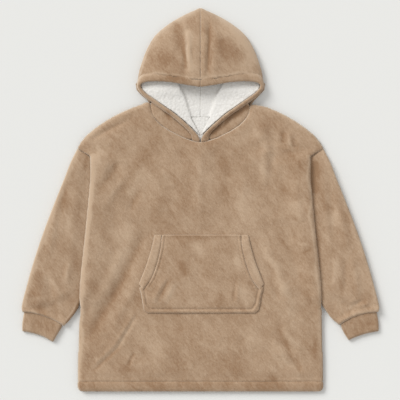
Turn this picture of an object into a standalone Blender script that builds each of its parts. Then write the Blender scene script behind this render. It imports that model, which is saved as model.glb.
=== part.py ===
"""A wearable blanket hoodie, laid flat on its back with its front up.

X runs across the garment, Y from the hem to the hood, and Z up from the surface that it lies on. The origin
is under the middle of the laid garment. The tables are in millimetres, and the meshes are in metres. The
outlines are tables for one half, and the other half mirrors them. Only the folds differ between the sides.
"""

from collections import namedtuple

import bmesh
import bpy
import numpy as np

METRE_PER_MM = 0.001
WELD = 0.00001  # metres: corners nearer than this are one

# The cloth. A body wall is plush outside with a deep curly pile inside, which is why it is thick for cloth.
BODY_WALL = 8.0
SLEEVE_WALL = 7.0
HOOD_WALL = 4.0
LINING_WALL = 4.0
POCKET_WALL = 4.0
FACING_WALL = 5.2
HEM_WALL = 9.0
SEAM_GAP = 0.3
LYING_GAP = 0.5
LINING_GAP = 0.6
LOOSE_SEAM_GAP = 1.2  # where two edges meet along a curve and their corners don't line up

# How far an edge rounds off, in from where the cloth ends
SIDE_ROUNDING = 8.0
FOLD_ROUNDING = 6.5
SEAM_ROUNDING = 4.0
SEAM_GROOVE = 2.2
EDGE_RIM = 1.5

# Levels above the surface
BACK_TOP = BODY_WALL
FRONT_UNDERSIDE = BACK_TOP + LYING_GAP
SLEEVE_TOP = 2 * SLEEVE_WALL + LYING_GAP
OVER_SLEEVE = SLEEVE_TOP + LYING_GAP
SIDE_FOLD_EXTRA = 5.0  # the front doubles under itself at its side fold, as one rounded edge
SLEEVE_PUFF = 5.5
FRONT_PUFF = 3.0
SLEEVE_STEP_REACH = 34.0  # how far from the sleeve under it the front comes down again
ON_SLEEVE_MARGIN = 7.0
OFF_SLEEVE_MARGIN = 44.0
POCKET_REST_RELIEF = 2.5  # the front is level under the pocket, this far above its lowest
POCKET_MOUTH_LIFT = 2.4

Point = namedtuple("Point", "x y")
Fold = namedtuple("Fold", "x0 y0 x1 y1 width height")
HoodSection = namedtuple("HoodSection", "y half_width height side_level")
EdgeStation = namedtuple("EdgeStation", "seam_x seam_y seam_z free_x free_y free_z")
SleeveSection = namedtuple("SleeveSection", "outer_x outer_y inner_x inner_y bow", defaults=(0,))
LiningRow = namedtuple("LiningRow", "y edge_x edge_z fold_x fold_z")
NeckRow = namedtuple("NeckRow", "inner_x inner_y seam_y")

# The body's outline, right half, from the neck point down
NECK_POINT = Point(150, 285)
SHOULDER = (
    NECK_POINT,
    Point(199.5, 275),
    Point(240, 257),
    Point(275, 239),
    Point(302, 221),
    Point(326, 203),
    Point(345, 185),
    Point(359, 167),
    Point(368, 152),
)
SHOULDER_POINT = SHOULDER[-1]
FOLD_START = Point(328, 131)  # where the armhole seam runs under the front's side fold
UNDERARM = Point(292, 108)  # the armhole seam's hidden end
SIDE_FOLD = (
    FOLD_START,
    Point(326.5, 95),
    Point(327, 55),
    Point(334, -22),
    Point(343, -115),
    Point(352, -196),
    Point(358.5, -275),
    Point(362, -391),
    Point(364.5, -481),
    Point(365, -546),
)
HEM_SEAM_Y = -545.5
HEM_EDGE_Y = -571.5
HEM_CORNER = 12.0
FRONT_NECKLINE = (
    NECK_POINT,
    Point(147.5, 265),
    Point(142, 248),
    Point(132, 235),
    Point(112.5, 217),
    Point(86, 200.5),
    Point(55, 185.5),
    Point(32, 175),
    Point(14, 168),
    Point(0, 166),
)
BACK_NECKLINE = (
    NECK_POINT,
    Point(135, 270),
    Point(105, 256),
    Point(70, 248.5),
    Point(0, 246.6),
)
LINING_NECK_SEAM_Y = 247.0
NECK_LINING_END_Y = 175.0
NECK_LINING_HALF_WIDTH = 40.0
NECK_RECESS_HALF_WIDTH = 43.0
NECK_RECESS_END_Y = 171.0

# The right sleeve from the armhole to the cuff: its outer edge, its inner edge, which the body hides at
# first, and how far the row between them bows back towards the shoulder
SLEEVE_SECTIONS = (
    SleeveSection(368.6, 151.5, 292.5, 107.4),
    SleeveSection(388, 113, 292, 62),
    SleeveSection(407, 64, 293, 14),
    SleeveSection(428, 12, 297, -42),
    SleeveSection(450, -44, 305, -101),
    SleeveSection(471.5, -102, 316, -154),
    SleeveSection(491.5, -161, 329.5, -206),
    SleeveSection(509, -218, 341, -250),
    SleeveSection(522.5, -268, 350, -286, 3),
    SleeveSection(531, -300, 366, -319, 6),
    SleeveSection(533.5, -321, 391, -354, 8),
    SleeveSection(529.5, -334, 416.5, -373, 9),
)
CUFF_SECTIONS = (
    SleeveSection(528.3, -335.3, 418.1, -373.3, 9),
    SleeveSection(530, -348, 422, -384, 8),
    SleeveSection(533.5, -372, 431, -402, 5),
    SleeveSection(533.5, -394, 443.5, -421, 4),
)
TUBE_EDGE_WALL = 5.6  # the cloth at a flattened sleeve's folded edges
CUFF_EDGE_WALL = 5.4
ARMHOLE_DROP = 2.5  # how much lower the sleeve is at its armhole seam than along its length
GATHER_RISE = 1.5
GATHER_DROP = 2.0
CUFF_HEIGHT = 14.0
CUFF_SEAM_DROP = 2.5
CUFF_END_DROP = 3.0

# The kangaroo pocket, half outlines from its top down, about a middle that lies a little to the right
POCKET_SHIFT = 3.0
POCKET_MOUTH = (Point(139, -108), Point(146.5, -142), Point(162.5, -195), Point(185, -251))
POCKET_FACING_SEAM = (
    Point(117, -108),
    Point(122.5, -150),
    Point(133, -192),
    Point(149, -235),
    Point(167, -262),
)
POCKET_SIDE = (Point(181.5, -268), Point(175, -312), Point(171, -330), Point(162, -338.5))
POCKET_TOP_Y = POCKET_MOUTH[0].y
POCKET_BOTTOM_Y = POCKET_SIDE[-1].y
PLATEAU_MARGIN = 32.0
PLATEAU_BLEND = 45.0

# The hood, right half, from its peak to the band along the face edge
HOOD_SECTIONS = (
    HoodSection(571.5, 0, 10, 5),
    HoodSection(563, 19.5, 15, 7),
    HoodSection(545, 57, 21, 9),
    HoodSection(521, 96, 28, 12),
    HoodSection(490, 132, 35, 15),
    HoodSection(455, 154.5, 41, 17.5),
    HoodSection(420, 169, 45, 19),
    HoodSection(390, 179, 47.5, 20),
    HoodSection(364, 187, 48.5, 20),
)
# Below the band only the hood's side and back go on, with their upper edge under the band
HOOD_SIDE_SECTIONS = (
    HoodSection(348, 191.5, 10.5, 10.5),
    HoodSection(331, 190, 9.5, 9.5),
    HoodSection(313, 174, 9, 9),
    HoodSection(299, 159.5, 9, 9),
    HoodSection(288.5, 152, 9, 9),
)
# The band along the face edge: where it meets the hood, and its free edge, at the middle of its thickness
FACE_EDGE = (
    EdgeStation(0.4, 362.6, 43.5, 0.4, 334.7, 40.5),
    EdgeStation(39, 365.0, 43, 38, 339.8, 40),
    EdgeStation(90, 373.0, 40, 86, 348.5, 38.5),
    EdgeStation(136, 378.0, 34.5, 130, 352.0, 35),
    EdgeStation(165, 374.5, 27, 160, 350.5, 32),
    EdgeStation(179, 365.0, 21.5, 175, 346, 30),
    EdgeStation(186, 350, 17, 182, 336.5, 29),
    EdgeStation(184.5, 332, 14.5, 175.5, 324.5, 28.5),
    EdgeStation(163.5, 308, 13.5, 159.5, 309.5, 28),
    EdgeStation(145.5, 294, 13.5, 140.4, 297.3, 28),
    EdgeStation(126, 279.5, 14, 122.4, 284.8, 27.5),
    EdgeStation(88.5, 253.5, 14, 84.4, 258.8, 26.5),
    EdgeStation(57, 227.5, 14, 52.6, 232.8, 25),
    EdgeStation(34, 205, 14, 27, 209.8, 22.5),
    EdgeStation(24.5, 189.5, 14, 8, 191, 19.5),
    EdgeStation(24, 177, 13.5, 1.0, 172.5, 16.5),
)
BAND_THICKNESS = 8.3
CORNER_CLEARANCE = 5.5
# The front of the hood below the band, sewn to the front neckline: its inner edge under the band, and the y
# at which each row meets the seam
HOOD_FRONT_ROWS = (
    NeckRow(146.5, 285, 280),
    NeckRow(133, 275, 268),
    NeckRow(114, 261.5, 252),
    NeckRow(95.5, 247.5, 238),
    NeckRow(79, 234.5, 225),
    NeckRow(64.5, 221, 213.5),
    NeckRow(51, 208.5, 203),
    NeckRow(41, 199, 193),
    NeckRow(34, 189, 184.5),
    NeckRow(31.5, 180, 178),
)
HOOD_FRONT_TOP = 15.0
HOOD_FRONT_DIP = 2.6

# The hood lining: where its visible sheet starts at the side, and the soft fold that ends it by the centre
LINING_ROWS = (
    LiningRow(545, 30, 8.6, 18, 8.4),
    LiningRow(521, 70, 9.6, 40, 8.8),
    LiningRow(490, 106, 12, 55, 10.5),
    LiningRow(455, 130, 14, 64, 12.5),
    LiningRow(420, 148, 15, 69, 14),
    LiningRow(390, 160, 15, 71, 15),
    LiningRow(364, 170, 15, 71, 16),
    LiningRow(350, 174, 14.5, 69, 16.5),
    LiningRow(338, 177, 17, 65, 17),
    LiningRow(326, 171.5, 20.5, 59, 17),
    LiningRow(313, 156, 22, 52, 17),
    LiningRow(296, 130.5, 22, 46, 16.5),
    LiningRow(278, 104, 21.5, 41, 16),
    LiningRow(262, 80.5, 21, 36, 15.5),
    LiningRow(247.3, 62, 20.5, 31, 15),
    LiningRow(236, 48.5, 19.5, 25, 14.6),
    LiningRow(224, 35, 18.2, 18, 14.2),
    LiningRow(213, 22.5, 16.8, 11.5, 13.6),
    LiningRow(203, 12.5, 15.4, 6.5, 13),
    LiningRow(195, 5.5, 14, 2.5, 12.6),
)
LINING_CENTRE_TOP = HOOD_WALL + LINING_GAP + LINING_WALL

# Soft folds, each a ridge or, where its height is below zero, a trough
FRONT_FOLDS = (
    Fold(-181, -120, -319, -402, 24, -4.5),
    Fold(-235, -90, -345, -320, 20, 3.0),
    Fold(-140, -190, -285, -450, 20, 3.0),
    Fold(-234, -424, -326, -518, 9, -4.0),
    Fold(-198, -452, -217, -503, 8, -3.5),
    Fold(222, -436, 318, -527, 10, 4.0),
    Fold(200, -452, 298, -538, 9, -3.0),
    Fold(178, -96, 252, -262, 18, 3.5),
    Fold(228, -70, 300, -220, 20, -3.0),
    Fold(-6, 150, -12, -70, 34, 3.0),
    Fold(60, 120, 92, -60, 22, -2.5),
    Fold(178, 250, 188, 110, 16, 3.5),
    Fold(262, 215, 258, 90, 15, 3.0),
    Fold(222, 225, 224, 60, 16, -2.5),
    Fold(-330, 186, -200, 246, 11, -3.0),
    Fold(330, 186, 205, 244, 11, -2.0),
    Fold(-300, 100, -225, -45, 18, 3.5),
    Fold(-250, 95, -190, -30, 16, -2.5),
    Fold(300, 60, 245, -60, 18, 3.0),
    Fold(-120, -400, -104, -530, 16, 2.5),
    Fold(60, -390, 84, -520, 18, 2.5),
    Fold(130, 60, 150, -60, 22, 2.5),
    Fold(-110, 90, -130, -40, 24, 2.5),
)
SLEEVE_FOLDS = (
    Fold(-420, 0, -455, -170, 13, 3.5),
    Fold(-400, 60, -430, -90, 11, -2.5),
    Fold(-498, -210, -470, -300, 14, 3.5),
    Fold(-455, -230, -440, -300, 10, -3.0),
    Fold(-520, -268, -440, -330, 12, 3.0),
    Fold(-395, -300, -430, -345, 9, 2.5),
    Fold(405, 20, 440, -150, 13, 3.5),
    Fold(384, 50, 398, -120, 12, -2.5),
    Fold(452, -170, 470, -290, 12, 3.5),
    Fold(432, -180, 434, -270, 10, -2.5),
    Fold(456, -322, 482, -300, 7, -4.5),
    Fold(462, -338, 500, -310, 9, 3.0),
    Fold(505, -240, 516, -300, 10, 2.5),
)
POCKET_FOLDS = (
    Fold(-92, -236, -146, -316, 9, 3.0),
    Fold(-72, -250, -118, -322, 9, -2.0),
    Fold(-55, -130, -40, -220, 22, 1.8),
    Fold(110, -250, 104, -326, 8, 2.2),
    Fold(30, -140, 60, -300, 26, 1.6),
    Fold(-118, -250, -140, -300, 8, 1.5),
)
HOOD_FOLDS = (
    Fold(-52, 500, -44, 372, 13, -3.5),
    Fold(-24, 470, -26, 368, 10, 3.5),
    Fold(22, 520, 20, 372, 7, -3.2),
    Fold(44, 500, 48, 380, 14, 2.5),
)

COLOURS = {
    "plush": (0.46, 0.315, 0.21),
    "curly_lining": (0.86, 0.85, 0.83),
}
CLOTH_ROUGHNESS = 0.95


def cloth_material(name):
    """A plain dull cloth in one of the garment's two colours."""
    found = bpy.data.materials.get(name)
    if found:
        return found
    material = bpy.data.materials.new(name)
    material.use_nodes = True
    shader = material.node_tree.nodes["Principled BSDF"]
    shader.inputs["Base Color"].default_value = (*COLOURS[name], 1)
    shader.inputs["Roughness"].default_value = CLOTH_ROUGHNESS
    shader.inputs["Metallic"].default_value = 0
    return material


def smooth_through(points, steps=6):
    """A smooth curve through a table's rows, as denser points (Catmull-Rom)."""
    rows = np.array(points, float)
    ends = np.vstack([2 * rows[0] - rows[1], rows, 2 * rows[-1] - rows[-2]])
    t = np.linspace(0, 1, steps, endpoint=False)[:, None]
    spans = [
        0.5 * (2 * b + (c - a) * t + (2 * a - 5 * b + 4 * c - d) * t**2 + (3 * b - a - 3 * c + d) * t**3)
        for a, b, c, d in zip(ends, ends[1:], ends[2:], ends[3:])
    ]
    return np.vstack([*spans, rows[-1:]])


def along(curve, level, column=1, value=0):
    """The value column of a curve where its level column has the given level."""
    curve = np.asarray(curve, float)
    order = np.argsort(curve[:, column], kind="stable")
    return np.interp(level, curve[order, column], curve[order, value])


def ease(share):
    """A smooth step from 0 to 1."""
    share = np.clip(share, 0, 1)
    return share * share * (3 - 2 * share)


def distance_to(path, x, y):
    """How far points lie from a path, seen from above."""
    path = np.asarray(path, float)
    start, run = path[:-1], path[1:] - path[:-1]
    points = np.stack(np.broadcast_arrays(x, y), -1)[..., None, :]
    share = ((points - start) * run).sum(-1) / np.maximum((run**2).sum(-1), 1e-9)
    nearest = start + np.clip(share, 0, 1)[..., None] * run
    return np.sqrt(((points - nearest) ** 2).sum(-1)).min(-1)


def outside_by(outline, x, y):
    """How far points lie outside a closed outline, and 0 inside it."""
    outline = np.asarray(outline, float)
    closed = np.vstack([outline, outline[:1]])
    x, y = np.broadcast_arrays(np.asarray(x, float), np.asarray(y, float))
    inside = np.zeros(x.shape, bool)
    for (ax, ay), (bx, by) in zip(closed, closed[1:]):
        crosses = (ay > y) != (by > y)
        reach = ax + (y - ay) * (bx - ax) / (by - ay if by != ay else 1)
        inside ^= crosses & (x < reach)
    return np.where(inside, 0, distance_to(closed, x, y))


def rounded(full, low, distance, radius):
    """A level that falls from full to low over the last stretch before an edge, as a quarter round."""
    share = 1 - np.clip(distance / radius, 0, 1)
    return low + (full - low) * np.sqrt(np.clip(1 - share**2, 0, 1))


def folds_at(folds, x, y):
    """The height that a table of soft folds adds."""
    total = np.zeros(np.broadcast(x, y).shape)
    for fold in folds:
        far = distance_to([(fold.x0, fold.y0), (fold.x1, fold.y1)], x, y)
        total = total + fold.height * np.exp(-((far / fold.width) ** 2))
    return total


def new_object(name, mesh, material):
    """Adds a finished mesh to the scene as a named sub-part."""
    mesh.materials.append(cloth_material(material))
    mesh.shade_smooth()
    mesh.set_sharp_from_angle(angle=np.radians(50))
    part = bpy.data.objects.new(name, mesh)
    bpy.context.scene.collection.objects.link(part)
    return part


def wall(name, outer, inner, material, keep=None, ring=False):
    """One closed wall of cloth between two grids of points, each rows by columns by xyz.

    keep says which cells are cloth. Where ring is true, the last column joins the first.
    """
    rows, columns = outer.shape[:2]
    cell_columns = columns if ring else columns - 1
    if keep is None:
        keep = np.ones((rows - 1, cell_columns), bool)
    shell = bmesh.new()
    grids = [
        [[shell.verts.new(point * METRE_PER_MM) for point in row] for row in grid]
        for grid in (outer, inner)
    ]
    sides = set()
    for i, j in zip(*np.nonzero(keep)):
        beside = (j + 1) % columns
        loop = ((i, j), (i, beside), (i + 1, beside), (i + 1, j))
        for a, b, c in (loop[:3], (loop[0], *loop[2:])):
            shell.faces.new([grids[0][row][column] for row, column in (a, b, c)])
            shell.faces.new([grids[1][row][column] for row, column in (c, b, a)])
        sides.update(zip(loop, loop[1:] + loop[:1]))
    for start, end in sorted(sides):
        if (end, start) not in sides:
            over = (grids[0][end[0]][end[1]], grids[0][start[0]][start[1]])
            under = (grids[1][start[0]][start[1]], grids[1][end[0]][end[1]])
            shell.faces.new(over + under)
    bmesh.ops.delete(shell, geom=[v for v in shell.verts if not v.link_faces], context="VERTS")
    bmesh.ops.remove_doubles(shell, verts=shell.verts, dist=WELD)
    bmesh.ops.recalc_face_normals(shell, faces=shell.faces)
    if shell.calc_volume(signed=True) < 0:
        bmesh.ops.reverse_faces(shell, faces=shell.faces)
    mesh = bpy.data.meshes.new(name)
    shell.to_mesh(mesh)
    shell.free()
    return new_object(name, mesh, material)


def columns_between(outer_x, inner_x, edge_steps, middle_count, seam_step):
    """The x of a half panel's columns at each row, close together where its two edges round off."""
    width = outer_x - inner_x
    near_edge = [np.minimum(step, share * width) for step, share in edge_steps]
    near_seam = width - np.minimum(seam_step, 0.12 * width)
    start, stop = near_edge[-1], near_seam
    middle = [start + (stop - start) * k / middle_count for k in range(1, middle_count)]
    insets = [np.zeros_like(width), *near_edge, *middle, near_seam, width]
    return outer_x[:, None] - np.stack(insets, 1)


def both_halves(half_x, rows_y):
    """A whole panel's grid of x and y from its right half's columns: left edge to right edge."""
    x = np.concatenate([-half_x, half_x[:, ::-1]], axis=1)
    return x, np.broadcast_to(rows_y[:, None], x.shape)


def neckline_cells(inner_x, columns):
    """Which cells of a panel are cloth: none between its halves above the neckline's lowest point."""
    keep = np.ones((len(inner_x) - 1, columns - 1), bool)
    keep[:, columns // 2 - 1] = (inner_x[1:] == 0) & (inner_x[:-1] == 0)
    return keep


ARMHOLE_LINE = (SHOULDER_POINT, FOLD_START, UNDERARM)
BODY_SIDE = np.vstack([smooth_through(SHOULDER), smooth_through(SIDE_FOLD)])
NECKLINE = smooth_through(FRONT_NECKLINE)
BACK_NECK = smooth_through(BACK_NECKLINE)
SLEEVE_EDGES = smooth_through(SLEEVE_SECTIONS, 2)
SLEEVE_INNER = SLEEVE_EDGES[:, 2:4]
SLEEVE_OUTLINE = np.vstack([SLEEVE_EDGES[:, :2], SLEEVE_INNER[::-1]])


def mirrored(path):
    """The same path on the other side of the garment."""
    return np.asarray(path, float) * (-1, 1)


def both_sides(path, x, y):
    """The distance to a right-hand path or to its mirror image, whichever is nearer."""
    return distance_to(path, np.abs(x), y)


def over_sleeve(x, y):
    """How far the front is lifted on to the sleeve: 0 off it, 1 on it."""
    near = 1 - outside_by(SLEEVE_OUTLINE, np.abs(x), y) / SLEEVE_STEP_REACH
    lifted = ease((SHOULDER_POINT.y - y) / (SHOULDER_POINT.y - FOLD_START.y))
    return ease(near * 1.25) * lifted


def pocket_outline():
    """The pocket's outline, all round."""
    half = np.array([*POCKET_MOUTH, *POCKET_SIDE], float)
    whole = np.vstack([half, mirrored(half)[::-1]])
    return whole + (POCKET_SHIFT, 0)


def front_relief(x, y):
    """The front's folds and loft: level under the pocket, and none at its sides."""
    to_side = distance_to(BODY_SIDE, np.abs(x), y)
    inside = ease((to_side - 6) / 55) * ease((y - HEM_SEAM_Y) / 40)
    free = np.maximum(FRONT_PUFF + folds_at(FRONT_FOLDS, x, y), 0) * inside
    level = ease(1 - (outside_by(pocket_outline(), x, y) - PLATEAU_MARGIN) / PLATEAU_BLEND)
    return free * (1 - level) + POCKET_REST_RELIEF * level


def front_levels(x, y):
    """The front's top and underside."""
    across = np.abs(x)
    over = over_sleeve(x, y)
    underside = FRONT_UNDERSIDE + over * (OVER_SLEEVE - FRONT_UNDERSIDE) + front_relief(x, y)
    below_armhole = ease((FOLD_START.y + 8 - y) / 30)
    fold_edge = SIDE_FOLD[:7]
    to_fold = distance_to(fold_edge, across, y)
    doubled = ease(1.4 - to_fold / 38) * over * below_armhole
    full = underside + BODY_WALL + SIDE_FOLD_EXTRA * doubled
    to_side = distance_to(BODY_SIDE, across, y)
    top = rounded(full, underside + EDGE_RIM + 3 * doubled, to_side, SIDE_ROUNDING)
    for seam in (NECKLINE, [(-400, HEM_SEAM_Y), (400, HEM_SEAM_Y)]):
        to_seam = distance_to(seam, across if seam is NECKLINE else x, y)
        top = np.minimum(top, rounded(full, full - SEAM_GROOVE, to_seam, SEAM_ROUNDING))
    underside = underside + doubled * (4 - rounded(4, 0, to_side, FOLD_ROUNDING))
    return top, np.minimum(underside, top - EDGE_RIM)


def grid_of(x, y, z):
    """Points of a panel from its plan grid and its heights."""
    return np.stack(np.broadcast_arrays(x, y, z), -1)


FRONT_ROWS = np.array(
    [282, 275, 263, 250, 235, 219, 205, 192, 182, 174, 168, 165, 152, 141, 131, 120, 104, 80, 50, 15, -20]
    + [-55, -88, -112, -140, -170, -200, -232, -262, -290, -318, -346, -374, -402, -432, -462, -492, -517]
    + [-535, -541.5, HEM_SEAM_Y + SEAM_GAP],
    float,
)
FRONT_EDGE_STEPS = ((1.6, 0.04), (4.8, 0.1), (11, 0.18))
FRONT_MIDDLE_COLUMNS = 6


def front_columns(rows, inner_x):
    """The x of the front's columns: near its side, on and off the sleeve, across, and by its seam."""
    side_x = along(BODY_SIDE, rows)
    width = side_x - inner_x
    near_side = [side_x - np.minimum(step, share * width) for step, share in FRONT_EDGE_STEPS]
    hidden_x = np.where(rows > UNDERARM.y, along(np.array([UNDERARM, SHOULDER_POINT], float), rows), side_x)
    hidden_x = np.where(rows < UNDERARM.y, along(SLEEVE_INNER, rows), hidden_x)
    on_sleeve = np.minimum(hidden_x - ON_SLEEVE_MARGIN, side_x - 20)
    on_sleeve = np.where(hidden_x > side_x, side_x - 22, on_sleeve)
    on_sleeve = np.where(rows > SHOULDER_POINT.y, side_x - 0.24 * width, on_sleeve)
    off_sleeve = on_sleeve - np.minimum(OFF_SLEEVE_MARGIN - ON_SLEEVE_MARGIN, 0.16 * width)
    near_seam = inner_x + np.minimum(3.2, 0.1 * width)
    share = np.arange(1, FRONT_MIDDLE_COLUMNS) / FRONT_MIDDLE_COLUMNS
    across = [off_sleeve + (near_seam - off_sleeve) * part for part in share]
    return np.stack([side_x, *near_side, on_sleeve, off_sleeve, *across, near_seam, inner_x], 1)


def make_front():
    """The front panel, with its neckline cut out and its sides lying over the sleeves."""
    rows = FRONT_ROWS
    inner_x = np.where(rows > FRONT_NECKLINE[-1].y, along(NECKLINE, rows), 0)
    x, y = both_halves(front_columns(rows, inner_x), rows)
    top, underside = front_levels(x, y)
    keep = neckline_cells(inner_x, x.shape[1])
    wall("front_panel", grid_of(x, y, top), grid_of(x, y, underside), "plush", keep)


BACK_ROWS = np.array(
    [284, 276, 266, 258, 252, 248.4, 246.3, 205, NECK_RECESS_END_Y, NECK_RECESS_END_Y - 2, 152, 141, 130]
    + [119, 108, 80, 40, -10, -70, -130, -190, -240, -275, -292, -308, -350, -450, -530, -541]
    + [HEM_SEAM_Y + SEAM_GAP],
    float,
)
BACK_EDGE_STEPS = (2.4, 8.5)
BACK_MIDDLE_SHARES = (0.35, 0.7)


def back_side_x(y):
    """The back's side: along the shoulder, the armhole, the sleeve's hidden edge and the body's side."""
    side = along(BODY_SIDE, y)
    armhole = along(np.array([UNDERARM, SHOULDER_POINT], float), y)
    beside_sleeve = along(SLEEVE_INNER, y) - LOOSE_SEAM_GAP
    narrowed = np.where(y > UNDERARM.y, armhole, beside_sleeve)
    return np.where(y < SHOULDER_POINT.y, np.minimum(side, narrowed), side)


def back_columns(rows, inner_x):
    """The x of the back's columns: near its side, across it, and by the neck lining's recess."""
    side_x = back_side_x(rows)
    width = side_x - inner_x
    recess = [np.where(inner_x > 0, inner_x + 0.1 * width, NECK_RECESS_HALF_WIDTH + 2)]
    recess.append(np.where(inner_x > 0, inner_x + 0.05 * width, NECK_RECESS_HALF_WIDTH))
    near_side = [side_x - np.minimum(step, 0.2 * width) for step in BACK_EDGE_STEPS]
    across = [near_side[-1] + (recess[0] - near_side[-1]) * share for share in BACK_MIDDLE_SHARES]
    return np.stack([side_x, *near_side, *across, *recess, inner_x], 1)


def make_back():
    """The back panel. It lies flat, and is thinner where the neck lining covers it."""
    rows = BACK_ROWS
    inner_x = np.where(rows > BACK_NECKLINE[-1].y, along(BACK_NECK, rows), 0)
    x, y = both_halves(back_columns(rows, inner_x), rows)
    side = np.stack([back_side_x(rows), rows], 1)
    rise_at_side = BODY_WALL - EDGE_RIM
    underside = rise_at_side - rounded(rise_at_side, 0, both_sides(side, x, y), SIDE_ROUNDING)
    for seam in (BACK_NECK, [(0, HEM_SEAM_Y), (400, HEM_SEAM_Y)]):
        groove = SEAM_GROOVE - rounded(SEAM_GROOVE, 0, both_sides(seam, x, y), SEAM_ROUNDING)
        underside = np.maximum(underside, groove)
    recess = (np.abs(x) < NECK_RECESS_HALF_WIDTH + 1) & (y > NECK_RECESS_END_Y - 1)
    top = np.maximum(np.where(recess, HOOD_WALL, BACK_TOP), underside + EDGE_RIM)
    keep = neckline_cells(inner_x, x.shape[1])
    wall("back_panel", grid_of(x, y, top), grid_of(x, y, underside), "plush", keep)


def make_hem(name, underside_level, faces_up):
    """One side of the turned hem, a doubled strip with its lower corners rounded."""
    depths = np.array([SEAM_GAP, 2.5, 6.0, 13.0, 20.0, 24.0, 26.0])
    rows = HEM_SEAM_Y - depths
    rise = np.clip(HEM_CORNER - (rows - HEM_EDGE_Y), 0, HEM_CORNER)
    corner_inset = HEM_CORNER - np.sqrt(HEM_CORNER**2 - rise**2)
    outer_x = along(BODY_SIDE, np.maximum(rows, HEM_SEAM_Y)) - corner_inset
    half = columns_between(outer_x, np.zeros_like(rows), ((2.4, 0.1), (8.5, 0.2)), 3, 3.0)
    x, y = both_halves(half, rows)
    side = np.stack([outer_x, rows], 1)
    edge = np.vstack([side, [(0, HEM_EDGE_Y)]])
    to_edge = both_sides(edge, x, y)
    to_seam = np.abs(y - HEM_SEAM_Y)
    full = underside_level + (HEM_WALL if faces_up else BODY_WALL)
    if faces_up:
        level = rounded(full, underside_level + EDGE_RIM, to_edge, SIDE_ROUNDING)
        top = np.minimum(level, rounded(full, full - SEAM_GROOVE, to_seam, SEAM_ROUNDING))
        underside = np.full_like(top, underside_level)
    else:
        rise_at_edge = BODY_WALL - EDGE_RIM
        underside = rise_at_edge - rounded(rise_at_edge, 0, to_edge, SIDE_ROUNDING)
        underside = np.maximum(underside, SEAM_GROOVE - rounded(SEAM_GROOVE, 0, to_seam, SEAM_ROUNDING))
        top = np.full_like(underside, full)
    wall(name, grid_of(x, y, top), grid_of(x, y, underside), "plush")


TOP_SECTION_SHARES = (0, 0.014, 0.05, 0.12, 0.24, 0.37, 0.5, 0.63, 0.76, 0.88, 0.95, 0.986, 1)
BOTTOM_SECTION_SHARES = (0.97, 0.92, 0.66, 0.34, 0.08, 0.03)
SECTION_SHARES = np.array(TOP_SECTION_SHARES + BOTTOM_SECTION_SHARES)


def flat_tube_section(section, height, wall_thickness, extra, side):
    """One flattened ring of a sleeve or cuff, outside and inside, with extra(x, y) as its folds' height."""
    start, end = np.array(section[:2], float), np.array(section[2:4], float)
    width = np.linalg.norm(end - start)
    run = (end - start) / width
    bow = np.array([run[1], -run[0]]) * 4 * section[4]
    radius = height / 2
    upper = np.arange(len(SECTION_SHARES)) < len(TOP_SECTION_SHARES)
    rings = []
    for inset in (0, wall_thickness):
        distance = inset + SECTION_SHARES * (width - 2 * inset)
        share = distance / width
        x, y = (start + np.outer(distance, run) + np.outer(share * (1 - share), bow)).T
        to_edge = np.minimum(distance, width - distance)
        lift = extra(x * side, y) * ease((to_edge - 2) / 26)
        inward = np.clip((to_edge - inset) / (radius - (inset and 3)), 0, 1)
        half = (LYING_GAP / 2 if inset else radius) * np.sqrt(1 - (1 - inward) ** 2)
        z = np.where(upper, radius + half + lift, radius - half)
        rings.append(grid_of(x, y, z))
    return rings


def make_flat_tube(name, sections, heights, side, extra, wall_thickness):
    """A sleeve or cuff: flattened rings from one end to the other, on the side given."""
    rings = [
        flat_tube_section(section, height, wall_thickness, extra, side)
        for section, height in zip(sections, heights)
    ]
    outer = np.array([ring[0] for ring in rings]) * (side, 1, 1)
    inner = np.array([ring[1] for ring in rings]) * (side, 1, 1)
    wall(name, outer, inner, "plush", ring=True)


def sleeve_extra(x, y):
    """The sleeve's loft and folds, none where the body lies on it or at its ends."""
    across = np.abs(x)
    clear_of_body = ease((across - along(BODY_SIDE, y) - 4) / 42)
    from_cuff = ease((y + 335 + 0.37 * (across - 475)) / 34)
    from_armhole = ease(distance_to(ARMHOLE_LINE, across, y) / 40)
    return (SLEEVE_PUFF + folds_at(SLEEVE_FOLDS, x, y)) * clear_of_body * from_cuff * from_armhole


def make_sleeve(name, side):
    """A sleeve, open at the armhole and at the cuff."""
    heights = np.full(len(SLEEVE_SECTIONS), SLEEVE_TOP)
    heights[0] -= ARMHOLE_DROP
    heights[-2] += GATHER_RISE
    heights[-1] -= GATHER_DROP
    make_flat_tube(name, SLEEVE_SECTIONS, heights, side, sleeve_extra, TUBE_EDGE_WALL)


def make_cuff(name, side):
    """A doubled cuff."""
    heights = (CUFF_HEIGHT - CUFF_SEAM_DROP, CUFF_HEIGHT, CUFF_HEIGHT, CUFF_HEIGHT - CUFF_END_DROP)
    make_flat_tube(name, CUFF_SECTIONS, heights, side, lambda x, y: 0 * x, CUFF_EDGE_WALL)


POCKET_ROWS = np.array(
    [POCKET_TOP_Y, -109.5, -113, -125, -150, -175, -200, -222, -243, -262, -272, -295, -315, -330, -337.3]
    + [POCKET_BOTTOM_Y],
    float,
)
POCKET_UNDERSIDE = FRONT_UNDERSIDE + BODY_WALL + POCKET_REST_RELIEF + SEAM_GAP
POCKET_BODY_SIDE = np.vstack([smooth_through(POCKET_FACING_SEAM, 4), np.array(POCKET_SIDE, float)])


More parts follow.
